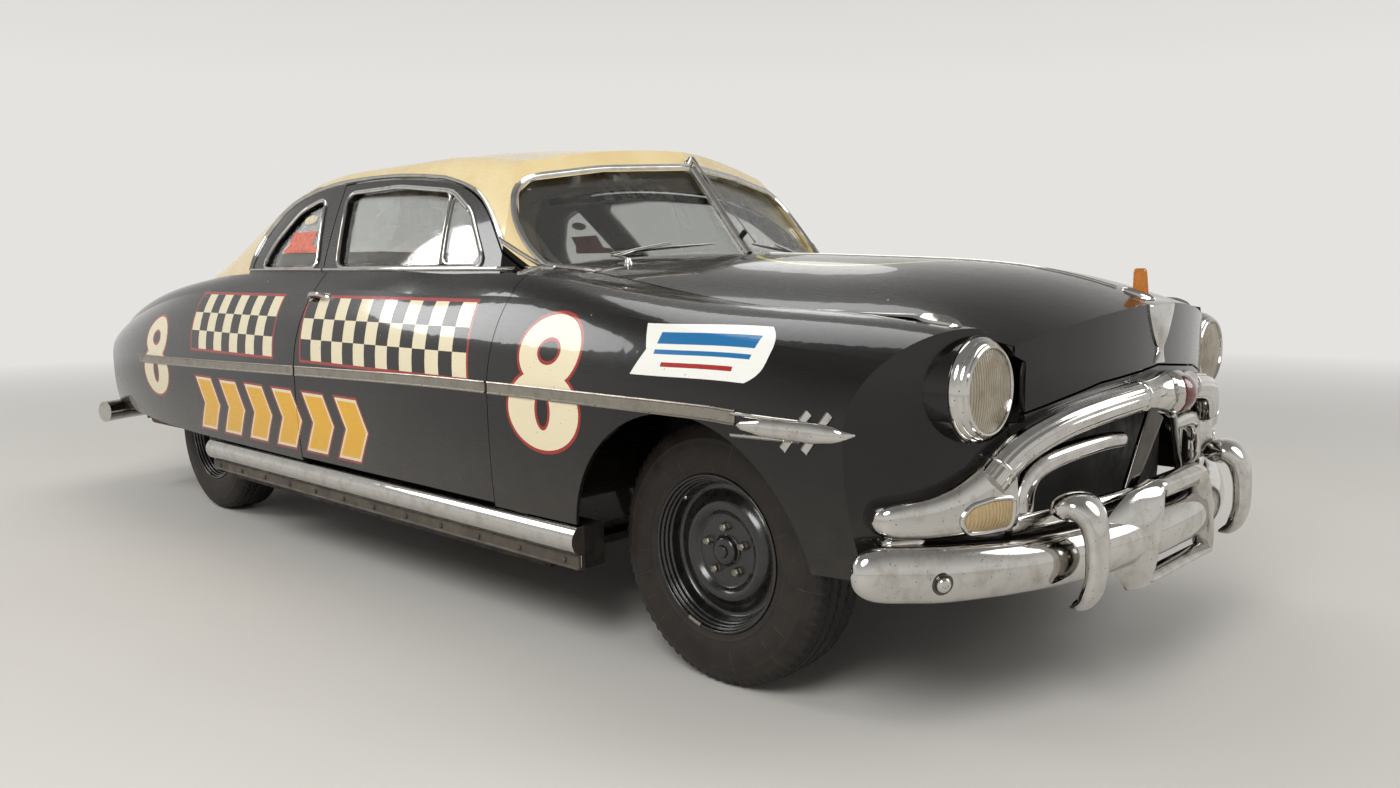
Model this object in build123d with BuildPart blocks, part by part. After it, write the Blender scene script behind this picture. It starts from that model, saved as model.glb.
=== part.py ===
# A full-size two-door stock car of the early 1950s with a low step-down unit body.
# Frame: +X forward, +Y to the car's left, +Z up, in millimetres. The origin is on the
# ground under the middle of the whole car. Symmetric pieces are made on the left and
# mirrored.
from build123d import *
import os
from math import atan2, cos, hypot, radians, sin, sqrt, tan

os.makedirs("parts", exist_ok=True)

# Overall sizes
length = 5296.0
wheelbase = 3147.0
front_overhang = 900.0
front_track = 1486.0
rear_track = 1410.0
front_axle_x = length / 2 - front_overhang
rear_axle_x = front_axle_x - wheelbase

# Running clearances
panel_gap = 6.0
seam = panel_gap / 2
seat_gap = 0.3

# Sheet, wall and glass thicknesses
skin = 16.0
door_wall = 72.0
cabin_wall = 40.0
glass_wall = 6.0
glass_depth = 14.0
plate = 8.0

# Tyres and wheels
tyre_r = 352.0
tyre_w = 200.0
flange_r = 208.0
bead_r = 192.0
bead_w = 168.0
drum_r = 142.0
drum_in = 62.0
drum_out = 18.0
spindle_r = 17.0
axle_z = tyre_r

# Heights and places that several pieces share
floor_z = 262.0
floor_wall = 24.0
floor_top = floor_z + floor_wall
trunk_floor_z = 470.0
trunk_floor_top = 486.0
rail_z = 205.0
door_front_x = 988.0
door_rear_x = -196.0
door_bottom_z = 402.0
bulkhead_x = (1085.0, 1130.0)
rear_wall_x = (-1150.0, -1105.0)
kick_x = (-1026.0, -1010.0)
trim_y = 801.0


def bulged(start, end, rise):
    """Arc from start to end, rise mm outside its chord as the outline turns anticlockwise."""
    dy, dz = end[0] - start[0], end[1] - start[1]
    chord = hypot(dy, dz)
    middle = ((start[0] + end[0]) / 2 + dz / chord * rise, (start[1] + end[1]) / 2 - dy / chord * rise)
    return ThreePointArc(start, middle, end)


def upright_rise(start, end):
    """Rise of an arc that stands upright at its widest end."""
    dy, dz = abs(end[0] - start[0]), abs(end[1] - start[1])
    return hypot(dy, dz) / 2 * tan(atan2(dy, dz) / 2)


def level_rise(start, end):
    """Rise of an arc that lies level at its highest end."""
    dy, dz = abs(end[0] - start[0]), abs(end[1] - start[1])
    return hypot(dy, dz) / 2 * tan(atan2(dz, dy) / 2)


# Lower body: half sections from tail to nose. Columns: station x, lower edge (y, z), widest
# point (y, z), shoulder crease (y, z), rise of the arc over it, fender or belt crown (y, z),
# valley (y, z), rise of the arc before it, height at the middle.
body_sections = (
    (-2640, 760, 447, 775, 560, 715, 640, 12, 600, 668, 520, 676, 2, 688),
    (-2440, 838, 441, 866, 625, 788, 764, 16, 690, 806, 590, 822, 2, 850),
    (-2150, 895, 430, 930, 665, 836, 852, 18, 745, 903, 640, 922, 2, 962),
    (-1800, 935, 414, 970, 692, 866, 922, 18, 782, 978, 665, 996, 1, 1042),
    (-1399, 957, 400, 984, 708, 884, 978, 12, 808, 1036, 690, 1058, 1, 1102),
    (-900, 966, 394, 986, 716, 890, 1000, 4, 832, 1070, 700, 1092, 1, 1130),
    (-300, 968, 391, 986, 722, 890, 1007, 2, 838, 1077, 700, 1100, 1, 1135),
    (400, 968, 390, 986, 727, 890, 1010, 2, 838, 1078, 700, 1100, 1, 1136),
    (800, 968, 390, 986, 730, 890, 1008, 3, 834, 1074, 700, 1094, 1, 1135),
    (1150, 966, 390, 986, 732, 892, 1000, 8, 810, 1058, 700, 1072, -1, 1131),
    (1600, 960, 390, 986, 734, 902, 952, 15, 740, 1006, 645, 1004, -3, 1119),
    (1990, 948, 392, 980, 730, 902, 912, 19, 706, 984, 622, 968, -5, 1102),
    (2240, 918, 396, 960, 722, 884, 893, 20, 692, 968, 606, 942, -7, 1074),
    (2420, 885, 400, 930, 710, 862, 876, 20, 680, 950, 590, 912, -8, 1030),
    (2640, 830, 404, 880, 690, 820, 845, 20, 655, 912, 560, 862, -8, 965),
)
# Inward direction (y, z) of each outline point, for the inner faces of skin and doors.
crease_inward = (0.86, 0.51)
crown_inward = (0.45, 0.89)
under_drop = 80.0


def body_face(row, inset):
    x, y1, z1, y2, z2, y3, z3, rise3, y4, z4, y5, z5, rise5, z6 = row
    low_z = z1 - (under_drop if inset else 0)
    lower = (y1 - inset, low_z)
    side = (y2 - inset, z2)
    crease = (y3 - crease_inward[0] * inset, z3 - crease_inward[1] * inset)
    crown = (y4 - crown_inward[0] * inset, z4 - crown_inward[1] * inset)
    valley = (y5, z5 - inset)
    middle = (0, z6 - inset)
    with BuildSketch(Plane.YZ.offset(x)) as face:
        with BuildLine():
            Line((0, low_z), lower)
            bulged(lower, side, upright_rise(lower, side))
            bulged(side, crease, upright_rise(side, crease))
            bulged(crease, crown, rise3)
            bulged(crown, valley, rise5)
            bulged(valley, middle, level_rise(valley, middle))
            Line(middle, (0, low_z))
        make_face()
    return face.sketch


# Plan of the nose and tail: one arc across the nose, one round each rear corner.
nose_arc = ((2222, 990), (2408.7, 683), (2548, 0))
tail_arc = ((-2545, 470), (-2440, 748), (-2150, 945))
plan_y = 1020.0


def body_form(inset=0.0):
    """The left half of the lower body's closed form, inset mm inside its skin."""
    tail_in, tail_mid, tail_out = [(x + inset, y - inset) for x, y in tail_arc]
    nose_out, nose_mid, nose_in = [(x - inset, y) for x, y in nose_arc]
    with BuildPart(mode=Mode.PRIVATE) as plan:
        with BuildSketch(Plane.XY.offset(200)):
            with BuildLine():
                Line((tail_in[0], 0), tail_in)
                ThreePointArc(tail_in, tail_mid, tail_out)
                Polyline(tail_out, (tail_out[0], plan_y), (nose_out[0], plan_y), nose_out)
                ThreePointArc(nose_out, nose_mid, nose_in)
                Line(nose_in, (tail_in[0], 0))
            make_face()
        extrude(amount=1200)
    return loft([body_face(row, inset) for row in body_sections]) & plan.part


# Cabin: half sections from the tail to ahead of the windscreen. Columns: station x, base
# half-width, drip edge (y, z), roof edge (y, z), height at the middle.
cabin_base_z = 1046.0
cabin_side_rise = 8.0
cabin_edge_rise = 14.0
cabin_sections = (
    (-1330, 778, 742, 1068, 630, 1094, 1120),
    (-1150, 802, 712, 1172, 598, 1226, 1264),
    (-950, 822, 682, 1282, 572, 1342, 1386),
    (-700, 838, 648, 1384, 548, 1438, 1480),
    (-350, 844, 626, 1428, 538, 1476, 1528),
    (50, 846, 622, 1434, 540, 1482, 1534),
    (500, 846, 632, 1418, 546, 1466, 1520),
    (900, 844, 650, 1388, 560, 1438, 1492),
    (1260, 838, 660, 1370, 570, 1415, 1465),
)
drip_inward = (0.95, 0.3)
edge_inward = (0.45, 0.9)

# Windscreen: two flat panes in a V, raked back, rounded at the pillars.
screen_base = (1148.0, 1130.0)
screen_sweep = 0.34
screen_rake = 0.87
screen_flat_y = 600.0
screen_end = (800.0, 840.0)


def cabin_face(row, inset):
    x, base_y, drip_y, drip_z, edge_y, edge_z, middle_z = row
    low = (base_y - inset, cabin_base_z)
    drip = (drip_y - drip_inward[0] * inset, drip_z - drip_inward[1] * inset)
    edge = (edge_y - edge_inward[0] * inset, edge_z - edge_inward[1] * inset)
    middle = (0, middle_z - inset)
    with BuildSketch(Plane.YZ.offset(x)) as face:
        with BuildLine():
            Line((0, cabin_base_z), low)
            bulged(low, drip, cabin_side_rise)
            bulged(drip, edge, cabin_edge_rise)
            bulged(edge, middle, level_rise(edge, middle))
            Line(middle, (0, cabin_base_z))
        make_face()
    return face.sketch


def screen_form(back=0.0):
    """Left half of all that lies behind the windscreen's face, moved back mm to the rear."""
    slices = []
    for level in (1000.0, 1600.0):
        front = screen_base[0] - screen_rake * (level - screen_base[1]) - back
        corner = (front - screen_sweep * screen_flat_y, screen_flat_y)
        end = (front - screen_base[0] + screen_end[0], screen_end[1])
        rear_x = -2200
        with BuildSketch(Plane.XY.offset(level)) as face:
            with BuildLine():
                Polyline((rear_x, 0), (front, 0), corner)
                TangentArc(corner, end, tangent=(-screen_sweep, 1))
                Polyline(end, (rear_x, end[1]), (rear_x, 0))
            make_face()
        slices.append(face.sketch)
    return loft(slices, ruled=True)


def cabin_form(inset=0.0):
    """Left half of the closed form of roof and pillars, inset mm inside its skin."""
    return loft([cabin_face(row, inset) for row in cabin_sections]) & screen_form(
        inset * sqrt(1 + screen_rake**2)
    )


def block(x0, x1, y0, y1, z0, z1):
    """Box from its corner values."""
    with BuildPart(mode=Mode.PRIVATE) as made:
        with Locations(((x0 + x1) / 2, (y0 + y1) / 2, (z0 + z1) / 2)):
            Box(x1 - x0, y1 - y0, z1 - z0)
    return made.part


def prism(plane, points, amount, radius=0.0):
    """Prism over a polygon on a plane, its corners rounded."""
    with BuildPart(mode=Mode.PRIVATE) as made:
        with BuildSketch(plane) as outline:
            Polygon(*points, align=None)
            if radius:
                fillet(outline.vertices(), radius)
        extrude(amount=amount)
    return made.part


def plan_slab(points, low, high):
    return prism(Plane.XY.offset(low), points, high - low)


def side_slab(points, near, far, radius=0.0):
    return prism(Plane.XZ.offset(-near), points, near - far, radius)


def front_slab(points, x0, x1, radius=0.0):
    return prism(Plane.YZ.offset(x0), points, x1 - x0, radius)


def turned(profile, origin, axis):
    """Solid of revolution: profile is (radius, height) points, height along axis from origin."""
    with BuildPart(mode=Mode.PRIVATE) as made:
        with BuildSketch(Plane.XZ):
            Polygon(*profile, align=None)
        revolve(axis=Axis.Z)
    return made.part.moved(Plane(origin=origin, z_dir=axis).location)


outer = body_form()
around = body_form(-seat_gap)
under_skin = body_form(skin)
behind_skin = body_form(skin + seat_gap)
under_wall = body_form(door_wall)
behind_wall = body_form(door_wall + seat_gap)
front_zone = block(900, 2700, -1, 1100, 150, 1300)
middle_zone = block(-1300, 1000, trim_y, 1100, 150, 1300)
rear_zone = block(-2700, rear_wall_x[1], -1, 1100, 150, 1300)
front_under = under_skin & front_zone
front_sheet = (outer & front_zone) - front_under
rear_sheet = (outer & rear_zone) - under_skin
side_wall = (outer & middle_zone) - under_wall
cabin_shell = cabin_form() - [outer, cabin_form(cabin_wall)]

# Hood: front-hinged panel from the nose to the cowl, between the valleys beside the fenders.
hood_front_y = 572.0
hood_mid = (1990.0, 618.0)
hood_back = (1120.0, 690.0)
hood_rear_mid = (1190.0, 380.0)
hood_rear_x = 1226.0
hood_lip = ((0, 830), (300, 806), (438, 778), (556, 752))
hood_cheek = ((556, 870), (604, 892), (720, 892), (720, 1400), (0, 1400))


def hood_zone(grow):
    """Space that the left half of the hood takes, grow mm outside its edges."""
    plan = [(2700, -1), (2700, hood_front_y + grow), (hood_mid[0], hood_mid[1] + grow),
            (hood_back[0] - grow, hood_back[1] + grow), (hood_rear_mid[0] - grow, hood_rear_mid[1]),
            (hood_rear_x - grow, -1)]
    lip = [(y, z - grow) for y, z in hood_lip[:-1]] + [(hood_lip[-1][0] + grow, hood_lip[-1][1] - grow)]
    cheek = [(hood_cheek[0][0] + grow, hood_cheek[0][1])] + [(y, z - grow) for y, z in hood_cheek[1:3]]
    return plan_slab(plan, 600, 1400) & front_slab(lip + cheek + list(hood_cheek[3:]), 1000, 2750)


with BuildPart() as hood:
    add(front_sheet & hood_zone(-seam))
    mirror(about=Plane.XZ)
hood.part.label = "hood"

# Front fenders: skin with a round wheel arch and a headlamp pod, an inner apron beside the
# engine and a shelf that joins apron and skin.
arch_r = 398.0
arch_z = 335.0
apron_y = 425.0
apron_x = (bulkhead_x[1], 2330.0)
shelf_z = 896.0
lamp_x = 2408.0
lamp_y = 683.0
lamp_z = 814.0
pod_r = 122.0
pod_bore_r = 106.0
pod_back = 110.0
valance_y = 600.0
cowl_corner = (1040.0, 790.0)
dash_panel_y = 795.0
lamp_axis = Plane(origin=(lamp_x, lamp_y, lamp_z), z_dir=(1, 0, 0))


def lamp_cylinder(radius, near, far):
    """Cylinder on the left headlamp's axis, from near to far mm ahead of its seat."""
    with BuildPart(mode=Mode.PRIVATE) as made:
        with BuildSketch(lamp_axis.offset(near)):
            Circle(radius)
        extrude(amount=far - near)
    return made.part



def side_disc(x, z, radius, near, far):
    """Cylinder across the car, from y = near to y = far."""
    with BuildPart(mode=Mode.PRIVATE) as made:
        with BuildSketch(Plane.XZ.offset(-near)):
            with Locations((x, z)):
                Circle(radius)
        extrude(amount=near - far)
    return made.part


def post(x, y, radius, low, high):
    """Upright cylinder."""
    with BuildPart(mode=Mode.PRIVATE) as made:
        with BuildSketch(Plane.XY.offset(low)):
            with Locations((x, y)):
                Circle(radius)
        extrude(amount=high - low)
    return made.part


def cut(form, *tools):
    """The form less each tool in turn, as its one main solid."""
    for tool in tools:
        form = form - tool
    return form.solids().sort_by(SortBy.VOLUME)[-1]


cowl_side = plan_slab([(1300, -2), (1300, 600), (hood_back[0] - seam, hood_back[1] + seam), cowl_corner,
                       (door_front_x, dash_panel_y + seam), (900, dash_panel_y + seam), (900, -2)], 200, 1300)
valance_top_z = 735.0
lip_y = hood_lip[-1][0]
below_hood = front_slab([(-2, 200), (valance_y, 200), (valance_y, valance_top_z + seam),
                         (lip_y + seam, valance_top_z + seam), (lip_y + seam, 900), (-2, 900)], 2100, 2700)
arch = side_disc(front_axle_x, arch_z, arch_r, 640, 1060)
fender_skin = cut(front_sheet & block(door_front_x + seam, 2700, 0, 1100, 200, 1300), hood_zone(seam), cowl_side,
                  arch, below_hood, lamp_cylinder(pod_r, 0, 200), lamp_cylinder(pod_bore_r, -160, 10))
apron_outline = [(apron_x[0], 452), (apron_x[0], shelf_z + plate), (apron_x[1], shelf_z + plate), (apron_x[1], 560),
                 (2180, 470), (2060, 470), (1900, 530), (1600, 530), (1440, 470), (1360, 452)]
hood_stop = (1250.0, 560.0, 12.0)
bracket_z = 600.0
with BuildPart() as front_fender_left:
    add(fender_skin)
    add(lamp_cylinder(pod_r, -pod_back, 0) - lamp_cylinder(pod_bore_r, -pod_back, 0))
    add(side_slab(apron_outline, apron_y, apron_y + plate))
    add(block(apron_x[0], apron_x[1], apron_y, 900, shelf_z, shelf_z + plate) & front_under)
    add(post(hood_stop[0], hood_stop[1], hood_stop[2], shelf_z, 1200) & behind_skin)
    add(block(2380, 2500, valance_y - 40, valance_y + seam, bracket_z, bracket_z + plate) & behind_skin)
    add(block(2380, 2500, valance_y + seam, valance_y + 30, bracket_z, bracket_z + plate) & front_under)
front_fender_left.part.label = "front_fender_left"
with BuildPart() as front_fender_right:
    add(mirror(front_fender_left.part, about=Plane.XZ))
front_fender_right.part.label = "front_fender_right"

# Front valance: the panel under the hood's lip, round the grille opening.
valance_low_z = 442.0
grille_half = ((0, 735), (300, 715), (420, 690), (560, 620), (575, 560), (575, 470), (0, 470))
hood_lip_zone = front_slab([(y, z - seam) for y, z in hood_lip] + [(lip_y, 1400), (0, 1400)], 1000, 2750)
valance_zone = front_slab([(0, valance_low_z), (valance_y - seam, valance_low_z),
                           (valance_y - seam, valance_top_z - seam), (lip_y - seam, valance_top_z - seam),
                           (lip_y - seam, 860), (0, 860)], 2150, 2700)
with BuildPart() as front_valance:
    add(cut(front_sheet & valance_zone, hood_lip_zone, front_slab(grille_half, 2100, 2700)))
    mirror(about=Plane.XZ)
front_valance.part.label = "front_valance"

# Cowl: the panel between hood and windscreen, with the bulkhead behind the engine.
tunnel_r = 112.0
tunnel_z = 352.0
tunnel_wall = 8.0
rocker_y = (866.0, 938.0)
rocker_z = (floor_z, 382.0)
sill_top_z = 384.0
cowl_depth = 60.0
cowl_plan = [(hood_rear_x - seam, -1), (hood_rear_mid[0] - seam, 380), (hood_back[0] - seam, hood_back[1]),
             (cowl_corner[0], cowl_corner[1] - seam), (door_front_x + seam, dash_panel_y), (940, dash_panel_y),
             (940, -1)]
bulkhead = cut(front_under & block(bulkhead_x[0], bulkhead_x[1], 0, 1100, floor_top, 1300),
               block(bulkhead_x[0] - 5, bulkhead_x[1] + 5, -1, tunnel_r + tunnel_wall, 200, 520),
               block(bulkhead_x[0] - 5, bulkhead_x[1] + 5, rocker_y[0] - 1, 1100, 200, sill_top_z + seat_gap))
cowl_skin = cut(front_sheet & plan_slab(cowl_plan, 900, 1300), screen_form(cowl_depth))
with BuildPart() as cowl:
    add(cowl_skin)
    add(bulkhead)
    mirror(about=Plane.XZ)
cowl.part.label = "cowl"

# Side windows, drip rail and pillars in side view.
drip_points = ((985, 1030), (700, 1255), (560, 1337), (370, 1392), (-90, 1433), (-522, 1416), (-800, 1340),
               (-900, 1180), (-892, 1030))
door_window = ((752, 1100), (560, 1272), (400, 1346), (30, 1380), (-318, 1372), (-150, 1100))
quarter_window = ((-312, 1100), (-495, 1362), (-640, 1318), (-745, 1190), (-765, 1100))
door_window_radius = 28.0
quarter_window_radius = 24.0
door_head = 14.0


def side_band(inset=0.0):
    """Left side region below the drip rail, inset mm inside it."""
    a, b, c, d, e, f, g, h, i = drip_points
    with BuildPart(mode=Mode.PRIVATE) as band:
        with BuildSketch(Plane.XZ.offset(-1000)):
            with BuildLine():
                Line(a, b)
                ThreePointArc(b, c, d)
                ThreePointArc(d, e, f)
                ThreePointArc(f, g, h)
                Polyline(h, i, a)
            make_face()
            if inset:
                offset(amount=-inset, kind=Kind.INTERSECTION, mode=Mode.REPLACE)
        extrude(amount=1001)
    return band.part


def side_window(points, radius):
    return side_slab(points, -1, 1000, radius)


def door_zone(grow):
    """Space of the left door's panel and of its window frame, grow mm outside their edges."""
    x0, x1 = door_rear_x - grow, door_front_x + grow
    panel = side_slab([(x0, door_bottom_z - grow), (x1, door_bottom_z - grow), (x1, 1120), (x0, 1120)], 500, 1100)
    frame = side_slab([(x0 - 40, 1060), (x1, 1060), (x1, 1500), (x0 - 224, 1500)], 300, 1100)
    return panel, frame & side_band(door_head - grow)


# Doors: a panel as thick as the body's side, and a window frame as thick as the pillars.
door_panel, door_frame = door_zone(0)
with BuildPart() as door_left:
    add(side_wall & door_panel)
    add(cabin_shell & door_frame)
    add(side_window(door_window, door_window_radius), mode=Mode.SUBTRACT)
door_left.part.label = "door_left"
with BuildPart() as door_right:
    add(mirror(door_left.part, about=Plane.XZ))
door_right.part.label = "door_right"

# Trunk lid, hinged under the rear window, with two bolt holes for a plate.
trunk_plan = ((-1335, 520), (-1700, 560), (-2700, 540))
trunk_low_z = 600.0
plate_hole = (89.0, 650.0, 3.5)


def trunk_zone(grow):
    (x0, y0), (x1, y1), (x2, y2) = trunk_plan
    return plan_slab([(x0 + grow, -1), (x0 + grow, y0 + grow), (x1, y1 + grow), (x2, y2 + grow), (x2, -1)],
                     trunk_low_z - grow, 1300)


with BuildPart() as trunk_lid:
    add(rear_sheet & trunk_zone(-seam))
    with Locations(Plane(origin=(-2540, plate_hole[0], plate_hole[1]), z_dir=(-1, 0, 0))):
        Hole(plate_hole[2], depth=60)
    mirror(about=Plane.XZ)
trunk_lid.part.label = "trunk_lid"

# Rear body: quarters, tail, window pillars, the wall behind the rear seat, a flange behind
# each door edge and a ledge behind the trunk lid's lower edge.
wheelhouse_r = 385.0
wheelhouse_z = axle_z + 20
wheelhouse_y = (580.0, 980.0)
wheelhouse_low_z = 400.0
tail_lamp = (-2500.0, 640.0, 640.0)
tail_lamp_r = 50.0
flange_w = 24.0
flange_z = (440.0, 900.0)
door_panel, door_frame = door_zone(panel_gap)
quarter_wall = side_wall & block(rear_wall_x[1], door_rear_x, 700, 1100, 150, 1300)
tail_hole = Pos(*tail_lamp) * Rot(0, 90, 0) * Cylinder(tail_lamp_r + seat_gap, 400)
wheel_space = side_disc(rear_axle_x, wheelhouse_z, wheelhouse_r + plate + seat_gap, -1, 1000)
tail_skin = cut(rear_sheet, trunk_zone(seam), tail_hole)
rear_wall = cut(under_skin & block(rear_wall_x[0], rear_wall_x[1], -1, 1100, trunk_floor_top, 1060), wheel_space)
pillar_x = door_rear_x - panel_gap
with BuildPart() as rear_body:
    add(cut(quarter_wall, door_panel))
    add(tail_skin)
    add(rear_wall)
    add(cut(cabin_shell & side_band(), door_frame, side_window(quarter_window, quarter_window_radius)))
    add(block(pillar_x, pillar_x + flange_w, 890, 960, *flange_z) & behind_wall)
    add(block(pillar_x - flange_w, pillar_x, 890, 925, *flange_z))
    add(block(-2640, -2500, -1, 200, trunk_low_z - seam, trunk_low_z + 30) & behind_skin)
    add(block(-2640, -2500, -1, 200, trunk_low_z - seam - 8, trunk_low_z - seam) & under_skin)
    mirror(about=Plane.XZ)
rear_body.part.label = "rear_body"

# Rear wheelhouses: a half-round arch over each rear wheel with a flat inner wall.
with BuildPart() as rear_wheelhouses:
    add(side_disc(rear_axle_x, wheelhouse_z, wheelhouse_r + plate, *wheelhouse_y)
        - side_disc(rear_axle_x, wheelhouse_z, wheelhouse_r, wheelhouse_y[0] + plate, wheelhouse_y[1] + 1))
    add(block(-1900, -900, 500, 1000, 0, wheelhouse_low_z), mode=Mode.SUBTRACT)
    add(block(kick_x[0] - seat_gap, -900, 500, 1000, 0, 900), mode=Mode.SUBTRACT)
    add(behind_skin, mode=Mode.INTERSECT)
    add(side_wall & block(rear_wall_x[1] - 1, -900, 700, 1100, 150, 1300), mode=Mode.SUBTRACT)
    mirror(about=Plane.XZ)
rear_wheelhouses.part.label = "rear_wheelhouses"

# Roof panel with the windscreen and rear window openings.
screen_half = ((0, 1428), (335, 1411), (600, 1372), (664, 1330), (706, 1241), (712, 1160), (690, 1085), (386, 1105),
               (0, 1128))
rear_half = ((0, 1418), (420, 1392), (530, 1330), (560, 1200), (520, 1160), (0, 1172))
screen_hole = front_slab(screen_half, 560, 1400)
rear_hole = front_slab(rear_half, -1500, -700)
with BuildPart() as roof_panel:
    add(cut(cabin_shell, side_band(), screen_hole, rear_hole))
    mirror(about=Plane.XZ)
roof_panel.part.label = "roof_panel"

# Glass: two windscreen panes, the rear window, fixed quarter windows and door windows.
pane_gap = 7.0
glass_sheet = (cabin_form(glass_depth) - cabin_form(glass_depth + glass_wall)) - around
with BuildPart() as fixed_glass:
    add(glass_sheet & screen_hole & block(500, 1400, pane_gap, 900, 1000, 1500))
    add(glass_sheet & rear_hole)
    add(glass_sheet & side_window(quarter_window, quarter_window_radius) & block(-1200, 0, 300, 1000, 1000, 1500))
    mirror(about=Plane.XZ)
fixed_glass.part.label = "fixed_glass"
with BuildPart() as door_glass_left:
    add(glass_sheet & side_window(door_window, door_window_radius) & block(-500, 1000, 300, 1000, 1000, 1500))
door_glass_left.part.label = "door_glass_left"
with BuildPart() as door_glass_right:
    add(mirror(door_glass_left.part, about=Plane.XZ))
door_glass_right.part.label = "door_glass_right"

# Floor and frame: the low floor with tunnel and rockers, the wall behind it up to the trunk
# floor, box rails under the floor, beside the engine and under the trunk.
floor_y = 866.0
rail_y = (790.0, 862.0)
front_rail_y = (335.0, 400.0)
front_rail_z = (355.0, 445.0)
front_rail_end_x = 2360.0
stub_x = 1190.0
trunk_rail_y = (390.0, 450.0)
trunk_rail_z = 401.0
trunk_rail_end_x = -2500.0
rocker_x = (-1022.0, 1358.0)
radiator_x = (2300.0, 2360.0)
radiator_z = (420.0, 860.0)
engine_x = (1460.0, 2220.0)
engine_y = 125.0
engine_z = (370.0, 850.0)
engine_mount_x = (1700.0, 1760.0)
wide_floor = ((-1800, 0), (-1800, 900), (-2130, 860), (-2390, 710), (-2500, 480), (-2500, 0))
with BuildPart() as floor_and_frame:
    add(block(kick_x[1], stub_x, 0, floor_y, floor_z, floor_top))
    add(block(kick_x[0], kick_x[1], 0, floor_y, floor_z, trunk_floor_top))
    add(side_slab([(kick_x[0] - 1, tunnel_z), (kick_x[0] - 1, 100), (1300, 100), (1300, tunnel_z)], -1, tunnel_r),
        mode=Mode.SUBTRACT)
    with BuildSketch(Plane.YZ.offset(kick_x[0] - 1)):
        with Locations((0, tunnel_z)):
            Circle(tunnel_r)
    extrude(amount=1300 - kick_x[0], mode=Mode.SUBTRACT)
    add(block(kick_x[1], 1110, rail_y[0], rail_y[1], rail_z, floor_z))
    add(block(rocker_x[0], rocker_x[1], rocker_y[0], rocker_y[1], *rocker_z))
    add(block(bulkhead_x[1] + seat_gap, stub_x, *front_rail_y, floor_top, front_rail_z[1]))
    add(block(stub_x, front_rail_end_x, *front_rail_y, *front_rail_z))
    add(block(*radiator_x, 0, front_rail_y[0], front_rail_z[0], radiator_z[0] - seat_gap))
    add(block(*engine_mount_x, engine_y + seat_gap, front_rail_y[0], front_rail_z[1] - 40, front_rail_z[1] - 10))
    add(block(trunk_rail_end_x, kick_x[0], *trunk_rail_y, trunk_rail_z, trunk_floor_z))
    add(block(-1800, kick_x[0], 0, wheelhouse_y[0] - seat_gap, trunk_floor_z, trunk_floor_top))
    add(plan_slab(wide_floor, trunk_floor_z, trunk_floor_top))
    mirror(about=Plane.XZ)
floor_and_frame.part.label = "floor_and_frame"

# Tunnel: an arched cover on the floor, from the wall behind the seats to the bulkhead.
with BuildPart() as floor_tunnel:
    with BuildSketch(Plane.YZ.offset(kick_x[1])):
        with Locations((0, tunnel_z)):
            Circle(tunnel_r + tunnel_wall)
            Rectangle(2 * (tunnel_r + tunnel_wall), tunnel_z - floor_top, align=(Align.CENTER, Align.MAX))
            Circle(tunnel_r, mode=Mode.SUBTRACT)
            Rectangle(2 * tunnel_r, tunnel_z - floor_top, align=(Align.CENTER, Align.MAX), mode=Mode.SUBTRACT)
        with Locations((0, floor_top)):
            Rectangle(3 * tunnel_r, 3 * tunnel_r, align=(Align.CENTER, Align.MAX), mode=Mode.SUBTRACT)
    extrude(amount=bulkhead_x[0] - seat_gap - kick_x[1])
floor_tunnel.part.label = "floor_tunnel"

# Sill mouldings: a bulbous bright moulding along each rocker.
sill_y = (938.4, 950.0, 984.0, 958.0)
with BuildPart() as sill_mouldings:
    with BuildSketch(Plane.YZ.offset(rocker_x[0])):
        with BuildLine():
            Polyline((sill_y[0], sill_top_z), (sill_y[0], floor_z), (sill_y[1], floor_z), (sill_y[1], 300))
            ThreePointArc((sill_y[1], 300), (sill_y[2], 346), (sill_y[3], sill_top_z))
            Line((sill_y[3], sill_top_z), (sill_y[0], sill_top_z))
        make_face()
    extrude(amount=rocker_x[1] - rocker_x[0])
    mirror(about=Plane.XZ)
sill_mouldings.part.label = "sill_mouldings"

# Grille: an upper arch against the valance, inner arches, a lower bar, two struts and a cap.
nose_curve = 0.30e-3
arch_front = 2566.0
arch_line = ((0, 768), (220, 755), (420, 722), (584, 660), (652, 622))
inner_front = 2530.0
inner_line = ((150, 652), (400, 636), (520, 608), (556, 560), (562, 500))
lower_front = 2556.0
lower_line = ((0, 512), (200, 510), (400, 504), (598, 494))
strut_ends = ((56, 711), (179, 513))
lamp_joint = ((606, 618), (688, 636))
cap_outline = ((0, 806), (46, 800), (62, 770), (54, 716), (24, 686), (0, 683))


def nose_path(points, front):
    """Points (y, z) set back from front with the nose's curve in plan."""
    return [(front - nose_curve * y * y, y, z) for y, z in points]


def nose_bar(points, front, radius):
    """Round bar through (y, z) points along the nose."""
    with BuildPart(mode=Mode.PRIVATE) as made:
        with BuildLine() as route:
            Spline(*nose_path(points, front))
        with BuildSketch(Plane(origin=route.line @ 0, z_dir=route.line % 0)):
            Circle(radius)
        sweep(path=route.line)
    return made.part


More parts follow.
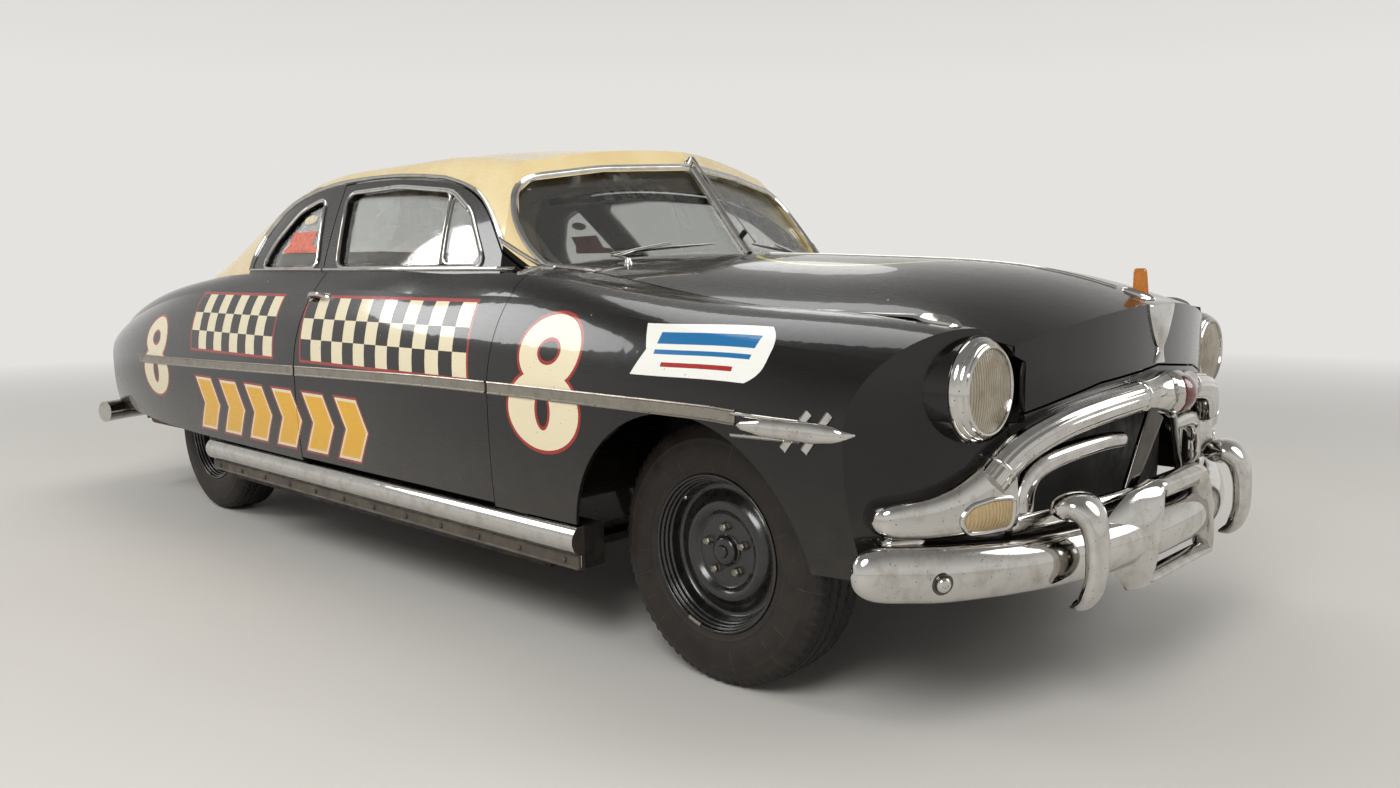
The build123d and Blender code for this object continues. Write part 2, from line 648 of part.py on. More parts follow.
left_half = block(1000, 3000, 0, 1200, 0, 1500)
(joint_y, joint_z), (joint_end_y, joint_end_z) = lamp_joint
lamp_corner = front_slab([(joint_y - seat_gap, 400), (joint_y - seat_gap, joint_z + seat_gap),
                          (joint_end_y, joint_end_z + seat_gap), (800, joint_end_z + seat_gap), (800, 400)], 2100, 2700)
grille_rim = around - front_slab([(y - (1 if y else 0), z - 1) for y, z in grille_half[:-1]] + [(0, 472)], 2100, 2700)
arch_bar = cut(nose_bar(((-60, 766),) + arch_line, arch_front, 36) & left_half, around, lamp_corner)
lower_bar = cut(nose_bar(((-60, 513),) + lower_line, lower_front, 20) & left_half, grille_rim)
with BuildPart() as grille:
    add(arch_bar)
    add(lower_bar)
    add(cut(nose_bar(inner_line, inner_front, 21), grille_rim))
    (y0, z0), (y1, z1) = strut_ends
    foot = Vector(lower_front - 6, y1, z1)
    reach = Vector(arch_front - 2, y0, z0 + 30) - foot
    with BuildSketch(Plane(origin=foot, x_dir=(1, 0, 0), z_dir=reach)):
        Ellipse(12, 19)
    extrude(amount=reach.length)
    add(front_slab(cap_outline, 2556, 2612))
    mirror(about=Plane.XZ)
grille.part.label = "grille"

# Headlamps: a bucket in each pod with a stepped bezel and a domed lens.
with BuildPart() as headlamps:
    add(turned(((0, -70), (60, -66), (pod_bore_r - seat_gap, -20), (pod_bore_r - seat_gap, seat_gap),
                (119, seat_gap), (120, 10), (112, 26), (104, 34), (92, 36), (60, 44), (0, 48)),
               (lamp_x, lamp_y, lamp_z), (1, 0, 0)))
    mirror(about=Plane.XZ)
headlamps.part.label = "headlamps"

# Parking lamps: housings that carry the grille's arch round each corner of the nose.
housing_depth = 32.0
with BuildPart() as housing_slab:
    with BuildSketch(Plane.YZ.offset(2150)):
        with BuildLine():
            Polyline((joint_y, 452), *lamp_joint)
            Spline(lamp_joint[1], (730, 600), (800, 580), (862, 566), (894, 532), (878, 498), (800, 470), (700, 456),
                   (joint_y, 452))
        make_face()
    extrude(amount=450)
housing_form = body_form(-housing_depth)
with BuildPart() as parking_lamps:
    add((housing_slab.part & housing_form) - around)
    mirror(about=Plane.XZ)
parking_lamps.part.label = "parking_lamps"

# Tail lamps: round lamps set through the rear corners.
with BuildPart() as tail_lamps:
    add(turned(((0, -40), (30, -40), (tail_lamp_r, -30), (tail_lamp_r, 36), (36, 54), (0, 60)), tail_lamp, (-1, 0, 0)))
    mirror(about=Plane.XZ)
tail_lamps.part.label = "tail_lamps"

# Bumpers: a fat bar round the nose that thins to its tips, two hooked guards, arms to the
# rails. Columns of the bar: place across the car, centre height, half height, half depth.
bumper_arc = ((2286.0, -960.0), (2604.0, 0.0), (2286.0, 960.0))
bumper_bar = ((0, 418, 60, 40), (320, 415, 58, 40), (600, 402, 47, 38), (800, 388, 42, 35), (940, 382, 30, 26))
guard_y = (459.0, 521.0)
arm_z = (368.0, 432.0)
bumper_line = ThreePointArc(*bumper_arc)
with BuildPart() as bar_half:
    for y, z, half_height, half_depth in bumper_bar:
        share = 0.5 + y / 960 * 0.5
        point = bumper_line @ share
        with BuildSketch(Plane(origin=(point.X, point.Y, z), x_dir=(0, 0, 1), z_dir=bumper_line % share)):
            Ellipse(half_height, half_depth)
    loft()
with BuildPart() as front_bumper:
    add(bar_half.part)
    add(block(front_rail_end_x + seat_gap, 2560, *front_rail_y, *arm_z))
    with BuildSketch(Plane.XZ.offset(-guard_y[0])):
        with BuildLine():
            Polyline((2530, 330), (2560, 292), (2604, 300), (2616, 420), (2612, 520))
            ThreePointArc((2612, 520), (2580, 578), (2520, 566))
            Polyline((2520, 566), (2528, 536), (2560, 520), (2558, 440), (2530, 330))
        make_face()
    extrude(amount=guard_y[0] - guard_y[1])
    mirror(about=Plane.XZ)
front_bumper.part.label = "front_bumper"
rear_arc = ((-2330.0, -940.0), (-2604.0, 0.0), (-2330.0, 940.0))
rear_bar_z = 384.0
with BuildPart() as rear_bumper:
    with BuildLine() as rear_line:
        ThreePointArc(*rear_arc)
    with BuildSketch(Plane(origin=rear_line.line @ 0, x_dir=(0, 0, 1), z_dir=rear_line.line % 0)):
        with Locations((rear_bar_z, 0)):
            Ellipse(52, 36)
    sweep(path=rear_line.line)
    for side in (1, -1):
        with Locations(((trunk_rail_end_x - seat_gap - 2570) / 2, side * 420, 418)):
            Box(2570 + trunk_rail_end_x - seat_gap, 56, 30)
        with Locations((-2586, side * 500, 420)):
            Box(52, 56, 220)
rear_bumper.part.label = "rear_bumper"

# Seats: bench cushions and backs over the tunnel.
seat_low_z = floor_top + seat_gap
front_seat_side = ((470, seat_low_z), (500, 540), (440, 600), (-60, 560), (-150, 1000), (-250, 1010), (-290, 940),
                   (-200, seat_low_z))
rear_seat_side = ((-520, seat_low_z), (-500, 560), (-560, 610), (-900, 570), (-1000, 960), (-1085, 970),
                  (-1096, trunk_floor_top + seat_gap), (kick_x[1] + seat_gap, trunk_floor_top + seat_gap),
                  (kick_x[1] + seat_gap, seat_low_z))
with BuildPart() as tunnel_space:
    with BuildSketch(Plane.YZ.offset(-1200)):
        with Locations((0, tunnel_z)):
            Circle(tunnel_r + tunnel_wall + seat_gap)
        with Locations((0, tunnel_z)):
            Rectangle(2 * (tunnel_r + tunnel_wall + seat_gap), 200, align=(Align.CENTER, Align.MAX))
    extrude(amount=2400)
with BuildPart() as front_seat:
    add(side_slab(front_seat_side, -690, 690))
    add(tunnel_space.part, mode=Mode.SUBTRACT)
front_seat.part.label = "front_seat"
with BuildPart() as rear_seat:
    add(side_slab(rear_seat_side, -570, 570))
    add(tunnel_space.part, mode=Mode.SUBTRACT)
rear_seat.part.label = "rear_seat"

# Dashboard, steering column and steering wheel.
dash_back_x = bulkhead_x[0] - seat_gap
with BuildPart() as dashboard:
    add(side_slab([(dash_back_x, 1040), (dash_back_x, 840), (990, 830), (960, 880), (955, 1000), (985, 1045)],
                  -740, 740))
dashboard.part.label = "dashboard"
driver_y = 360.0
column_tilt = 30.0
column_dir = Vector(cos(radians(column_tilt)), 0, -sin(radians(column_tilt)))
wheel_up = Vector(sin(radians(column_tilt)), 0, cos(radians(column_tilt)))
wheel_centre = Vector(640, driver_y, 938)
wheel_ring_r = 212.0
hub_ahead = 24.0
with BuildPart() as steering_column:
    with BuildSketch(Plane(origin=wheel_centre + column_dir * (hub_ahead + seat_gap), z_dir=column_dir)):
        Circle(27)
    extrude(amount=600)
    add(block(0, dash_back_x, 0, 800, 0, 1500), mode=Mode.INTERSECT)
steering_column.part.label = "steering_column"
with BuildPart() as steering_wheel:
    with BuildSketch(Plane(origin=wheel_centre + wheel_up * wheel_ring_r, z_dir=(0, 1, 0))):
        Circle(12.5)
    revolve(axis=Axis(wheel_centre, column_dir))
    hub_plane = Plane(origin=wheel_centre, x_dir=(0, 1, 0), z_dir=column_dir)
    with BuildSketch(hub_plane.offset(-20)):
        Circle(42)
    extrude(amount=20 + hub_ahead)
    with BuildSketch(hub_plane.offset(-6)):
        Rectangle(2 * wheel_ring_r, 26)
        Rectangle(26, wheel_ring_r, align=(Align.CENTER, Align.MAX))
    extrude(amount=12)
steering_wheel.part.label = "steering_wheel"

# Engine, radiator, driveline, fuel tank and exhaust.
with BuildPart() as engine:
    add(block(*engine_x, -engine_y, engine_y, *engine_z))
engine.part.label = "engine"
with BuildPart() as radiator:
    add(block(*radiator_x, -280, 280, *radiator_z))
radiator.part.label = "radiator"
gearbox_z = 430.0
gearbox_x = bulkhead_x[1] + 10
shaft_r = 32.0
shaft_start = Vector(1100, 0, gearbox_z)
shaft_end = Vector(rear_axle_x + 145, 0, axle_z + 2)
with BuildPart() as driveline:
    with BuildSketch(Plane.YZ.offset(engine_x[0])):
        with Locations((0, gearbox_z)):
            Circle(88)
    extrude(amount=gearbox_x - engine_x[0])
    with BuildSketch(Plane.YZ.offset(gearbox_x + 1)):
        with Locations((0, gearbox_z)):
            Circle(60)
    extrude(amount=1091 - gearbox_x)
    with BuildSketch(Plane(origin=shaft_start, z_dir=shaft_end - shaft_start)):
        Circle(shaft_r)
    extrude(amount=(shaft_end - shaft_start).length)
driveline.part.label = "driveline"
with BuildPart() as fuel_tank:
    add(block(-2350, -1890, -380, 380, 330, trunk_floor_z - seat_gap))
    fillet(fuel_tank.edges().filter_by(Axis.Y), 40)
fuel_tank.part.label = "fuel_tank"
pipe_r = 26.0
muffler = (200.0, -262.0, 168.0, 66.0, 620.0)
exhaust_route = ((1640, -180, 400), (1500, -215, 215), (1300, -240, 175), (-700, -300, 175), (-1150, -500, 150),
                 (-1700, -520, 150), (-2300, -560, 280), (-2590, -600, 292))
with BuildPart() as exhaust:
    with BuildLine() as pipe:
        FilletPolyline(*exhaust_route, radius=60)
    with BuildSketch(Plane(origin=pipe.line @ 0, z_dir=pipe.line % 0)):
        Circle(pipe_r)
    sweep(path=pipe.line)
    with Locations(muffler[:3]):
        Cylinder(muffler[3], muffler[4], rotation=(0, 90, 0))
    add(block(muffler[0] - 20, muffler[0] + 20, muffler[1] - 15, muffler[1] + 15, muffler[2], floor_z - seat_gap))
    add(block(-2310, -2290, -570, -550, 280, trunk_floor_z - seat_gap))
exhaust.part.label = "exhaust"

# Front suspension: a cross member with towers under the rails, wishbones and kingpins.
king_y = 650.0
king_z = (232.0 + seat_gap, 470.0 - seat_gap)
arm_wall = 24.0
member_x = (front_axle_x - 65, front_axle_x + 65)
lower_arm = ((1640, 340), (1860, 340), (1780, 600), (1770, 672), (1726, 672), (1716, 600))
upper_arm = ((1668, 404), (1828, 404), (1775, 600), (1768, 668), (1728, 668), (1721, 600))
with BuildPart() as front_suspension:
    add(block(*member_x, 0, front_rail_y[1], 245, 325))
    add(block(*member_x, *front_rail_y, 208, front_rail_z[0] - seat_gap))
    add(plan_slab(lower_arm, 232 - arm_wall, 232))
    add(block(*member_x, front_rail_y[1] + seat_gap, front_rail_y[1] + 18, front_rail_z[0], 470 + arm_wall))
    add(plan_slab(upper_arm, 470, 470 + arm_wall))
    mirror(about=Plane.XZ)
front_suspension.part.label = "front_suspension"


def knuckle(side):
    """Kingpin, spindle and steering arm of the left (1) or right (-1) side."""
    with BuildPart(mode=Mode.PRIVATE) as made:
        with BuildSketch(Plane.XY.offset(king_z[0])):
            with Locations((front_axle_x, side * king_y)):
                Circle(20)
        extrude(amount=king_z[1] - king_z[0])
        with BuildSketch(Plane.XZ.offset(-side * king_y)):
            with Locations((front_axle_x, axle_z)):
                Circle(spindle_r)
        extrude(amount=-side * 110)
        with Locations((front_axle_x - 70, side * (king_y - 8), axle_z - 50)):
            Box(140, 20, 26)
    return made.part


with BuildPart() as knuckle_left:
    add(knuckle(1))
knuckle_left.part.label = "knuckle_left"
with BuildPart() as knuckle_right:
    add(knuckle(-1))
knuckle_right.part.label = "knuckle_right"

# Rear axle with its leaf springs, one solid spring each side.
tube_r = 42.0
spring_y = (422.0, 478.0)
spring_top_z = axle_z - tube_r - seat_gap
with BuildPart() as rear_axle:
    with Locations((rear_axle_x, 0, axle_z)):
        Cylinder(tube_r, 1220, rotation=(90, 0, 0))
        Cylinder(spindle_r, rear_track + 30, rotation=(90, 0, 0))
        Sphere(112)
    with Locations((rear_axle_x + 110, 0, axle_z + 2)):
        Cylinder(44, 60, rotation=(0, 90, 0))
    with BuildSketch(Plane.XZ.offset(-spring_y[0])):
        with BuildLine():
            front_x = kick_x[0] - seat_gap
            rear_x = rear_axle_x - 640
            ThreePointArc((rear_x, trunk_rail_z - seat_gap), (rear_axle_x, spring_top_z), (front_x, 330))
            Line((front_x, 330), (front_x, 300))
            ThreePointArc((front_x, 300), (rear_axle_x, spring_top_z - 30), (rear_x, trunk_rail_z - 15))
            Line((rear_x, trunk_rail_z - 15), (rear_x, trunk_rail_z - seat_gap))
        make_face()
    extrude(amount=spring_y[0] - spring_y[1])
    mirror(about=Plane.XZ)
rear_axle.part.label = "rear_axle"

# Wheels: stepped steel rims with hub and drum, and tyres with rounded shoulders.
rim_profile = (
    (spindle_r + seat_gap, -drum_in), (drum_r, -drum_in), (drum_r, drum_out), (96, drum_out), (110, 34), (128, 40),
    (150, 24), (168, 20), (176, 14), (176, -86), (186, -92), (flange_r, -92), (flange_r, -86),
    (bead_r - seat_gap, -84), (bead_r - seat_gap, 84), (flange_r, 86), (flange_r, 92), (196, 94), (184, 78),
    (178, 34), (160, 38), (134, 56), (104, 50), (88, 38), (46, 36), (44, 52), (20, 58), (0, 58), (0, 40),
    (spindle_r + seat_gap, 40),
)
with BuildPart() as rim_form:
    with BuildSketch(Plane.XY):
        Polygon(*rim_profile, align=None)
    revolve(axis=Axis.Y)
with BuildPart() as tyre_form:
    with BuildSketch(Plane.XY):
        with BuildLine():
            Polyline((flange_r + 2, -85), (bead_r, -82), (bead_r, 82), (flange_r + 2, 85))
            ThreePointArc((flange_r + 2, 85), (268, tyre_w / 2), (328, 84))
            ThreePointArc((328, 84), (344, 76), (349, 62))
            ThreePointArc((349, 62), (tyre_r, 0), (349, -62))
            ThreePointArc((349, -62), (344, -76), (328, -84))
            ThreePointArc((328, -84), (268, -tyre_w / 2), (flange_r + 2, -85))
        make_face()
    revolve(axis=Axis.Y)
corners = (
    ("front_left", front_axle_x, front_track / 2),
    ("front_right", front_axle_x, -front_track / 2),
    ("rear_left", rear_axle_x, rear_track / 2),
    ("rear_right", rear_axle_x, -rear_track / 2),
)
pieces = [hood, front_fender_left, front_fender_right, front_valance, cowl, door_left, door_right, trunk_lid,
          rear_body, rear_wheelhouses, roof_panel, fixed_glass, door_glass_left, door_glass_right, floor_and_frame,
          floor_tunnel,
          sill_mouldings, grille, headlamps, parking_lamps, tail_lamps, front_bumper, rear_bumper, front_seat,
          rear_seat, dashboard, steering_column, steering_wheel, engine, radiator, driveline, fuel_tank, exhaust,
          front_suspension, knuckle_left, knuckle_right, rear_axle]
for name, x, y in corners:
    for kind, form in (("wheel", rim_form), ("tyre", tyre_form)):
        with BuildPart() as placed:
            add(form.part.moved(Location((x, y, axle_z), (0, 0, 0 if y > 0 else 180))))
        placed.part.label = f"{kind}_{name}"
        pieces.append(placed)
for piece in pieces:
    export_step(piece.part, f"parts/{piece.part.label}.step")
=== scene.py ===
import math

import bmesh
import bpy
import numpy as np
from mathutils import Matrix, Vector
from mathutils.bvhtree import BVHTree


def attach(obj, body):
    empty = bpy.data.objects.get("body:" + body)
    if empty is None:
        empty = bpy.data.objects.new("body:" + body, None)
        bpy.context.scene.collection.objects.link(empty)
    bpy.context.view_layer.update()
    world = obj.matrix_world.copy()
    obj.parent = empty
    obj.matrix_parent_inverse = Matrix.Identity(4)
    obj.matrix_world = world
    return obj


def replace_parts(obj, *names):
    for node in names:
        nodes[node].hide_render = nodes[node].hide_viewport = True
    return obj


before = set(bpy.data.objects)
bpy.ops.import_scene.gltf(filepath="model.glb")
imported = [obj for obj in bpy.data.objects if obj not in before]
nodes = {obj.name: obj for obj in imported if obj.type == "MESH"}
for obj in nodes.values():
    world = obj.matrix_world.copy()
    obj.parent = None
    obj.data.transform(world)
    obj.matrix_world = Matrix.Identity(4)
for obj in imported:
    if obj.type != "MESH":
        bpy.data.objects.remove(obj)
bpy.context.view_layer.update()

# Race livery: cream figures with red edges, a checked band, gold chevrons, a white banner and a
# yellow ring on the hood. It is brushed over the enamel and runs across seams.


def linear(code):
    """A written sRGB colour such as #0A0B0C as linear red, green, blue and alpha."""
    parts = [int(code[i:i + 2], 16) / 255 for i in (1, 3, 5)]
    return tuple(c / 12.92 if c <= 0.04045 else ((c + 0.055) / 1.055) ** 2.4 for c in parts) + (1.0,)


def put(tree, kind, sockets=None, **settings):
    """Adds a node: settings are its properties, and sockets gives inputs a value or a link."""
    made = tree.nodes.new("ShaderNode" + kind)
    for name, value in settings.items():
        setattr(made, name, value)
    for name, value in (sockets or {}).items():
        if isinstance(value, bpy.types.NodeSocket):
            tree.links.new(value, made.inputs[name])
        else:
            made.inputs[name].default_value = value
    return made


def spot_in(tree):
    """The place on the object, in metres."""
    return put(tree, "TexCoord").outputs["Object"]


figure_cream = "#F0E4C2"
figure_red = "#A3231E"
band_gold = "#F0B41C"
sign_white = "#F2F1EA"
sign_blue = "#1F6FA6"
ring_yellow = "#F2DC2B"
outline = 0.01

livery = bpy.data.node_groups.new("race livery", "ShaderNodeTree")
livery.interface.new_socket("Colour", in_out="OUTPUT", socket_type="NodeSocketColor")
livery.interface.new_socket("Cover", in_out="OUTPUT", socket_type="NodeSocketFloat")
along, across, up = put(livery, "SeparateXYZ", {0: spot_in(livery)}).outputs
side_place = put(livery, "CombineXYZ", {0: along, 2: up}).outputs[0]
top_place = put(livery, "CombineXYZ", {0: along, 2: across}).outputs[0]


def calc(operation, *terms):
    """The result of one sum, in the tree of the first term that comes from a node."""
    tree = next(term.id_data for term in terms if isinstance(term, bpy.types.NodeSocket))
    return put(tree, "Math", dict(enumerate(terms)), operation=operation).outputs[0]


def blend_colour(share, first, second):
    """A mix of two colours, each a written colour, a value or a link."""
    sockets = {"Fac": share}
    for key, colour in (("Color1", first), ("Color2", second)):
        sockets[key] = linear(colour) if isinstance(colour, str) else colour
    return put(share.id_data, "MixRGB", sockets).outputs[0]


def within(value, low, high):
    """1 where a value lies between low and high, else 0."""
    return calc("COMPARE", value, (low + high) / 2, (high - low) / 2)


def oval(centre, half_width, half_height, source=side_place):
    """1 inside an ellipse: where the distance to its centre, over its half sizes, is below 1."""
    mapped = put(livery, "Mapping", {
        "Vector": source, "Location": (centre[0], 0, centre[1]), "Scale": (half_width, 1, half_height),
    }, vector_type="TEXTURE").outputs[0]
    reach = put(livery, "VectorMath", {0: mapped}, operation="LENGTH").outputs["Value"]
    return calc("LESS_THAN", reach, 1.0)


def figure_eight(centre, height, grow):
    """A bold 8: two discs less two holes, all edges moved out by grow metres."""
    x, z = centre
    top = (x + 0.01, z + 0.235 * height)
    foot = (x, z - 0.2 * height)
    discs = calc("MAXIMUM", oval(top, 0.34 * height + grow, 0.265 * height + grow),
                 oval(foot, 0.41 * height + grow, 0.3 * height + grow))
    holes = calc("MAXIMUM", oval(top, 0.13 * height - grow, 0.1 * height - grow),
                 oval(foot, 0.09 * height - grow, 0.15 * height - grow))
    return calc("MULTIPLY", discs, calc("SUBTRACT", 1.0, holes))


paint_layers = []
for centre, height in (((1.245, 0.775), 0.375), ((-1.515, 0.712), 0.345)):
    paint_layers.append((figure_eight(centre, height, outline), figure_red))
    paint_layers.append((figure_eight(centre, height, 0.0), figure_cream))

check_size = 0.074
check_low = 0.766
check_high = check_low + 3 * check_size
for start, end in ((-1.11, -0.37), (-0.37 + 3 * check_size, 0.888)):
    lean = calc("MULTIPLY_ADD", calc("SUBTRACT", up, check_low), 0.2, along)
    column = calc("FLOOR", calc("DIVIDE", calc("SUBTRACT", lean, start), check_size))
    row = calc("FLOOR", calc("DIVIDE", calc("SUBTRACT", up, check_low), check_size))
    odd = calc("PINGPONG", calc("ADD", column, row), 1.0)
    inner = calc("MULTIPLY", within(lean, start, end), within(up, check_low, check_high))
    whole = calc("MULTIPLY", within(lean, start - outline, end + outline),
                 within(up, check_low - outline, check_high + outline))
    paint_layers.append((calc("SUBTRACT", whole, inner), figure_red))
    paint_layers.append((calc("MULTIPLY", inner, odd), figure_cream))

chevron_x = (-1.02, 0.37)
chevron_z = (0.425, 0.655)
chevron_pitch = (chevron_x[1] - chevron_x[0]) / 6
chevron_slope = calc("MULTIPLY", calc("ABSOLUTE", calc("SUBTRACT", up, sum(chevron_z) / 2)), 0.62)
chevron_run = calc("DIVIDE", calc("ADD", calc("SUBTRACT", along, chevron_x[0]), chevron_slope), chevron_pitch)
chevron_phase = calc("FRACT", chevron_run)
for low, high, inset, colour in ((0.0, 0.72, 0.0, figure_red), (0.04, 0.68, 0.008, figure_cream),
                                 (0.09, 0.63, 0.018, band_gold)):
    rows = within(up, chevron_z[0] + inset, chevron_z[1] - inset)
    stripe = calc("MULTIPLY", within(chevron_phase, low, high), within(chevron_run, 0.0, 6.0))
    paint_layers.append((calc("MULTIPLY", rows, stripe), colour))

banner_middle = 0.921
banner_half = 0.063
banner_wave = calc("MULTIPLY", calc("SINE", calc("MULTIPLY", along, 9.0)), 0.004)
banner_up = calc("ADD", calc("MULTIPLY_ADD", along, 0.02, up), banner_wave)
banner_share = calc("ABSOLUTE", calc("DIVIDE", calc("SUBTRACT", banner_up, banner_middle), banner_half))
banner_notch = calc("MULTIPLY_ADD", calc("SUBTRACT", 1.0, banner_share), 0.035, 1.59)
banner_end = calc("SUBTRACT", 2.01, calc("MULTIPLY", calc("POWER", banner_share, 3.0), 0.045))
banner = calc("MULTIPLY", calc("GREATER_THAN", along, banner_notch), calc("LESS_THAN", along, banner_end))
paint_layers.append((calc("MULTIPLY", banner, calc("LESS_THAN", banner_share, 1.0)), sign_white))
for low, high, start, end, colour in (
    (0.936, 0.964, 1.655, 1.96, sign_blue),
    (0.911, 0.922, 1.655, 1.96, sign_blue),
    (0.881, 0.892, 1.69, 1.92, figure_red),
):
    paint_layers.append((calc("MULTIPLY", within(banner_up, low, high), within(along, start, end)), colour))

side_from = 0.74
ring_from = 0.98
side_only = calc("GREATER_THAN", calc("ABSOLUTE", across), side_from)
paint_layers = [(calc("MULTIPLY", mask, side_only), code) for mask, code in paint_layers]
ring_centre = (1.62, 0.0)
ring = calc("SUBTRACT", oval(ring_centre, 0.36, 0.3, top_place), oval(ring_centre, 0.345, 0.285, top_place))
paint_layers.append((calc("MULTIPLY", ring, calc("GREATER_THAN", up, ring_from)), ring_yellow))
colour_so_far = linear(figure_cream)
cover = 0.0
for mask, code in paint_layers:
    colour_so_far = blend_colour(mask, colour_so_far, code)
    cover = calc("MAXIMUM", cover, mask)
livery_end = livery.nodes.new("NodeGroupOutput")
livery.links.new(colour_so_far, livery_end.inputs["Colour"])
livery.links.new(cover, livery_end.inputs["Cover"])

# Body panels: pressed steel in thick black enamel, slightly wavy, with small pale chips, fine
# hairlines and dust low down.


def new_finish(name, **sockets):
    """A material with one Principled shader; gives the material, its tree and the shader."""
    material = bpy.data.materials.new(name)
    material.use_nodes = True
    tree = material.node_tree
    tree.nodes.clear()
    shader = put(tree, "BsdfPrincipled", {key.replace("_", " "): value for key, value in sockets.items()})
    put(tree, "OutputMaterial", {"Surface": shader.outputs[0]})
    return material, tree, shader


def cover_with(shader, colour, rough):
    """Links a colour and a roughness to a shader."""
    shader.id_data.links.new(colour, shader.inputs["Base Color"])
    shader.id_data.links.new(rough, shader.inputs["Roughness"])


def grain(tree, size, detail=2.0, rough=0.5, stretch=(1, 1, 1)):
    """Noise whose lumps are about size millimetres wide, stretched along the axes."""
    scale = [1000 / size / s for s in stretch]
    scaled = put(tree, "Mapping", {"Vector": spot_in(tree), "Scale": scale}).outputs[0]
    settings = {"Vector": scaled, "Scale": 1.0, "Detail": detail, "Roughness": rough}
    return put(tree, "TexNoise", settings).outputs[0]


def ramp(value, low, high, start=0.0, end=1.0):
    """The value taken from the range low..high to start..end, held at both ends."""
    return put(value.id_data, "MapRange", {0: value, 1: low, 2: high, 3: start, 4: end}).outputs[0]


def bump(shader, height, strength, distance):
    """Adds a bump of distance metres to the shader, on top of any before it."""
    sockets = {"Height": height, "Strength": strength, "Distance": distance}
    normal = shader.inputs["Normal"]
    if normal.is_linked:
        sockets["Normal"] = normal.links[0].from_socket
    shader.id_data.links.new(put(shader.id_data, "Bump", sockets).outputs[0], normal)


def cells(tree, scale, channel):
    """Random cells: the distance to each one's middle, and one channel of its own colour."""
    made = put(tree, "TexVoronoi", {"Vector": spot_in(tree), "Scale": scale}, feature="F1").outputs
    return made["Distance"], put(tree, "SeparateColor", {0: made["Color"]}).outputs[channel]


def coat_nodes(material, *names):
    """Gives CAD nodes a material in every slot."""
    for name in names:
        made = nodes[name]
        if not made.material_slots:
            made.data.materials.append(material)
        for held in made.material_slots:
            held.material = material


def enamel(name, base, worn, marked, shine):
    """Glossy enamel with waviness, chips and hairlines; marked adds the livery."""
    material, tree, shader = new_finish(name, Specular_IOR_Level=shine, Coat_Weight=0.7, Coat_Roughness=0.04)
    colour = blend_colour(ramp(grain(tree, 180), 0.35, 0.65), base, worn)
    if marked:
        marks = tree.nodes.new("ShaderNodeGroup")
        marks.node_tree = livery
        share = calc("MULTIPLY", marks.outputs["Cover"], ramp(grain(tree, 9, 3.0), 0.22, 0.3))
        colour = blend_colour(share, colour, marks.outputs["Colour"])
    distance, rare = cells(tree, 16.0, 0)
    ragged = calc("MULTIPLY_ADD", grain(tree, 4, 3.0), 0.05, distance)
    chip = calc("LESS_THAN", calc("SUBTRACT", ragged, 0.025), ramp(rare, 0.86, 1.0, 0.0, 0.045))
    colour = blend_colour(chip, colour, "#C9B792" if marked else "#8A6A42")
    height = put(tree, "SeparateXYZ", {0: spot_in(tree)}).outputs[2]
    dust = calc("MULTIPLY", ramp(height, 0.62, 0.25, 0.0, 0.22), grain(tree, 60, 4.0))
    hairlines = grain(tree, 1.2, 2.0, 0.6, (40, 40, 1))
    cover_with(shader, blend_colour(dust, colour, "#8C8171"), ramp(hairlines, 0.55, 0.75, 0.22, 0.42))
    bump(shader, grain(tree, 220, 1.0), 0.18, 0.004)
    bump(shader, grain(tree, 3.5, 1.0), 0.1, 0.0003)
    bump(shader, chip, -0.4, 0.0004)
    return material


black_enamel = enamel("black enamel", "#0B0908", "#12100E", True, 0.15)
cream_enamel = enamel("cream roof enamel", "#F4DFAA", "#EDD39A", False, 0.4)
black_panels = ["hood", "front_fender_left", "front_fender_right", "front_valance", "cowl", "door_left",
                "door_right", "trunk_lid", "rear_body"]
coat_nodes(black_enamel, *black_panels)
coat_nodes(cream_enamel, "roof_panel")

# Bright parts: chromium plate over steel, finely pitted and a little hazy, with warm stains in
# soft clouds.


def plating(name, base, stain, low, high, pits):
    """Bright metal with hazy patches, stains and pits; low and high are its roughness range."""
    material, tree, shader = new_finish(name, Metallic=1.0)
    cloud = grain(tree, 45, 4.0, 0.6)
    colour = blend_colour(ramp(cloud, 0.48, 0.8, 0.0, 0.55), base, stain)
    distance, rare = cells(tree, 210.0, 1)
    pit = calc("LESS_THAN", distance, ramp(rare, pits, 1.0, 0.0, 0.35))
    cover_with(shader, blend_colour(pit, colour, "#5A4636"), ramp(cloud, 0.35, 0.75, low, high))
    bump(shader, grain(tree, 30, 2.0), 0.1, 0.001)
    bump(shader, pit, -0.3, 0.0003)
    return material


chrome = plating("chromium plate", "#C9C7C3", "#8F8271", 0.04, 0.16, 0.9)
dull_bright = plating("dull ribbed stainless", "#9C968C", "#6E655A", 0.25, 0.45, 0.85)
coat_nodes(chrome, "grille", "headlamps", "parking_lamps", "front_bumper", "rear_bumper", "sill_mouldings")

# Underside and running gear: sprayed black frame paint, cast iron and bare steel, all dusty, and
# an exhaust with rust in patches.


def worn_paint(name, base, dust, rust, shine=0.0):
    """Dull paint or metal with dust in clouds and rust in small patches."""
    material, tree, shader = new_finish(name, Specular_IOR_Level=0.4, Metallic=shine)
    colour = blend_colour(ramp(grain(tree, 90, 4.0, 0.6), 0.4, 0.75, 0.0, 0.7), base, dust)
    colour = blend_colour(ramp(grain(tree, 28, 5.0, 0.7), 0.6, 0.72, 0.0, 0.8), colour, rust)
    cover_with(shader, colour, ramp(grain(tree, 40, 3.0), 0.3, 0.7, 0.42, 0.72))
    bump(shader, grain(tree, 3.0, 3.0), 0.2, 0.0006)
    return material


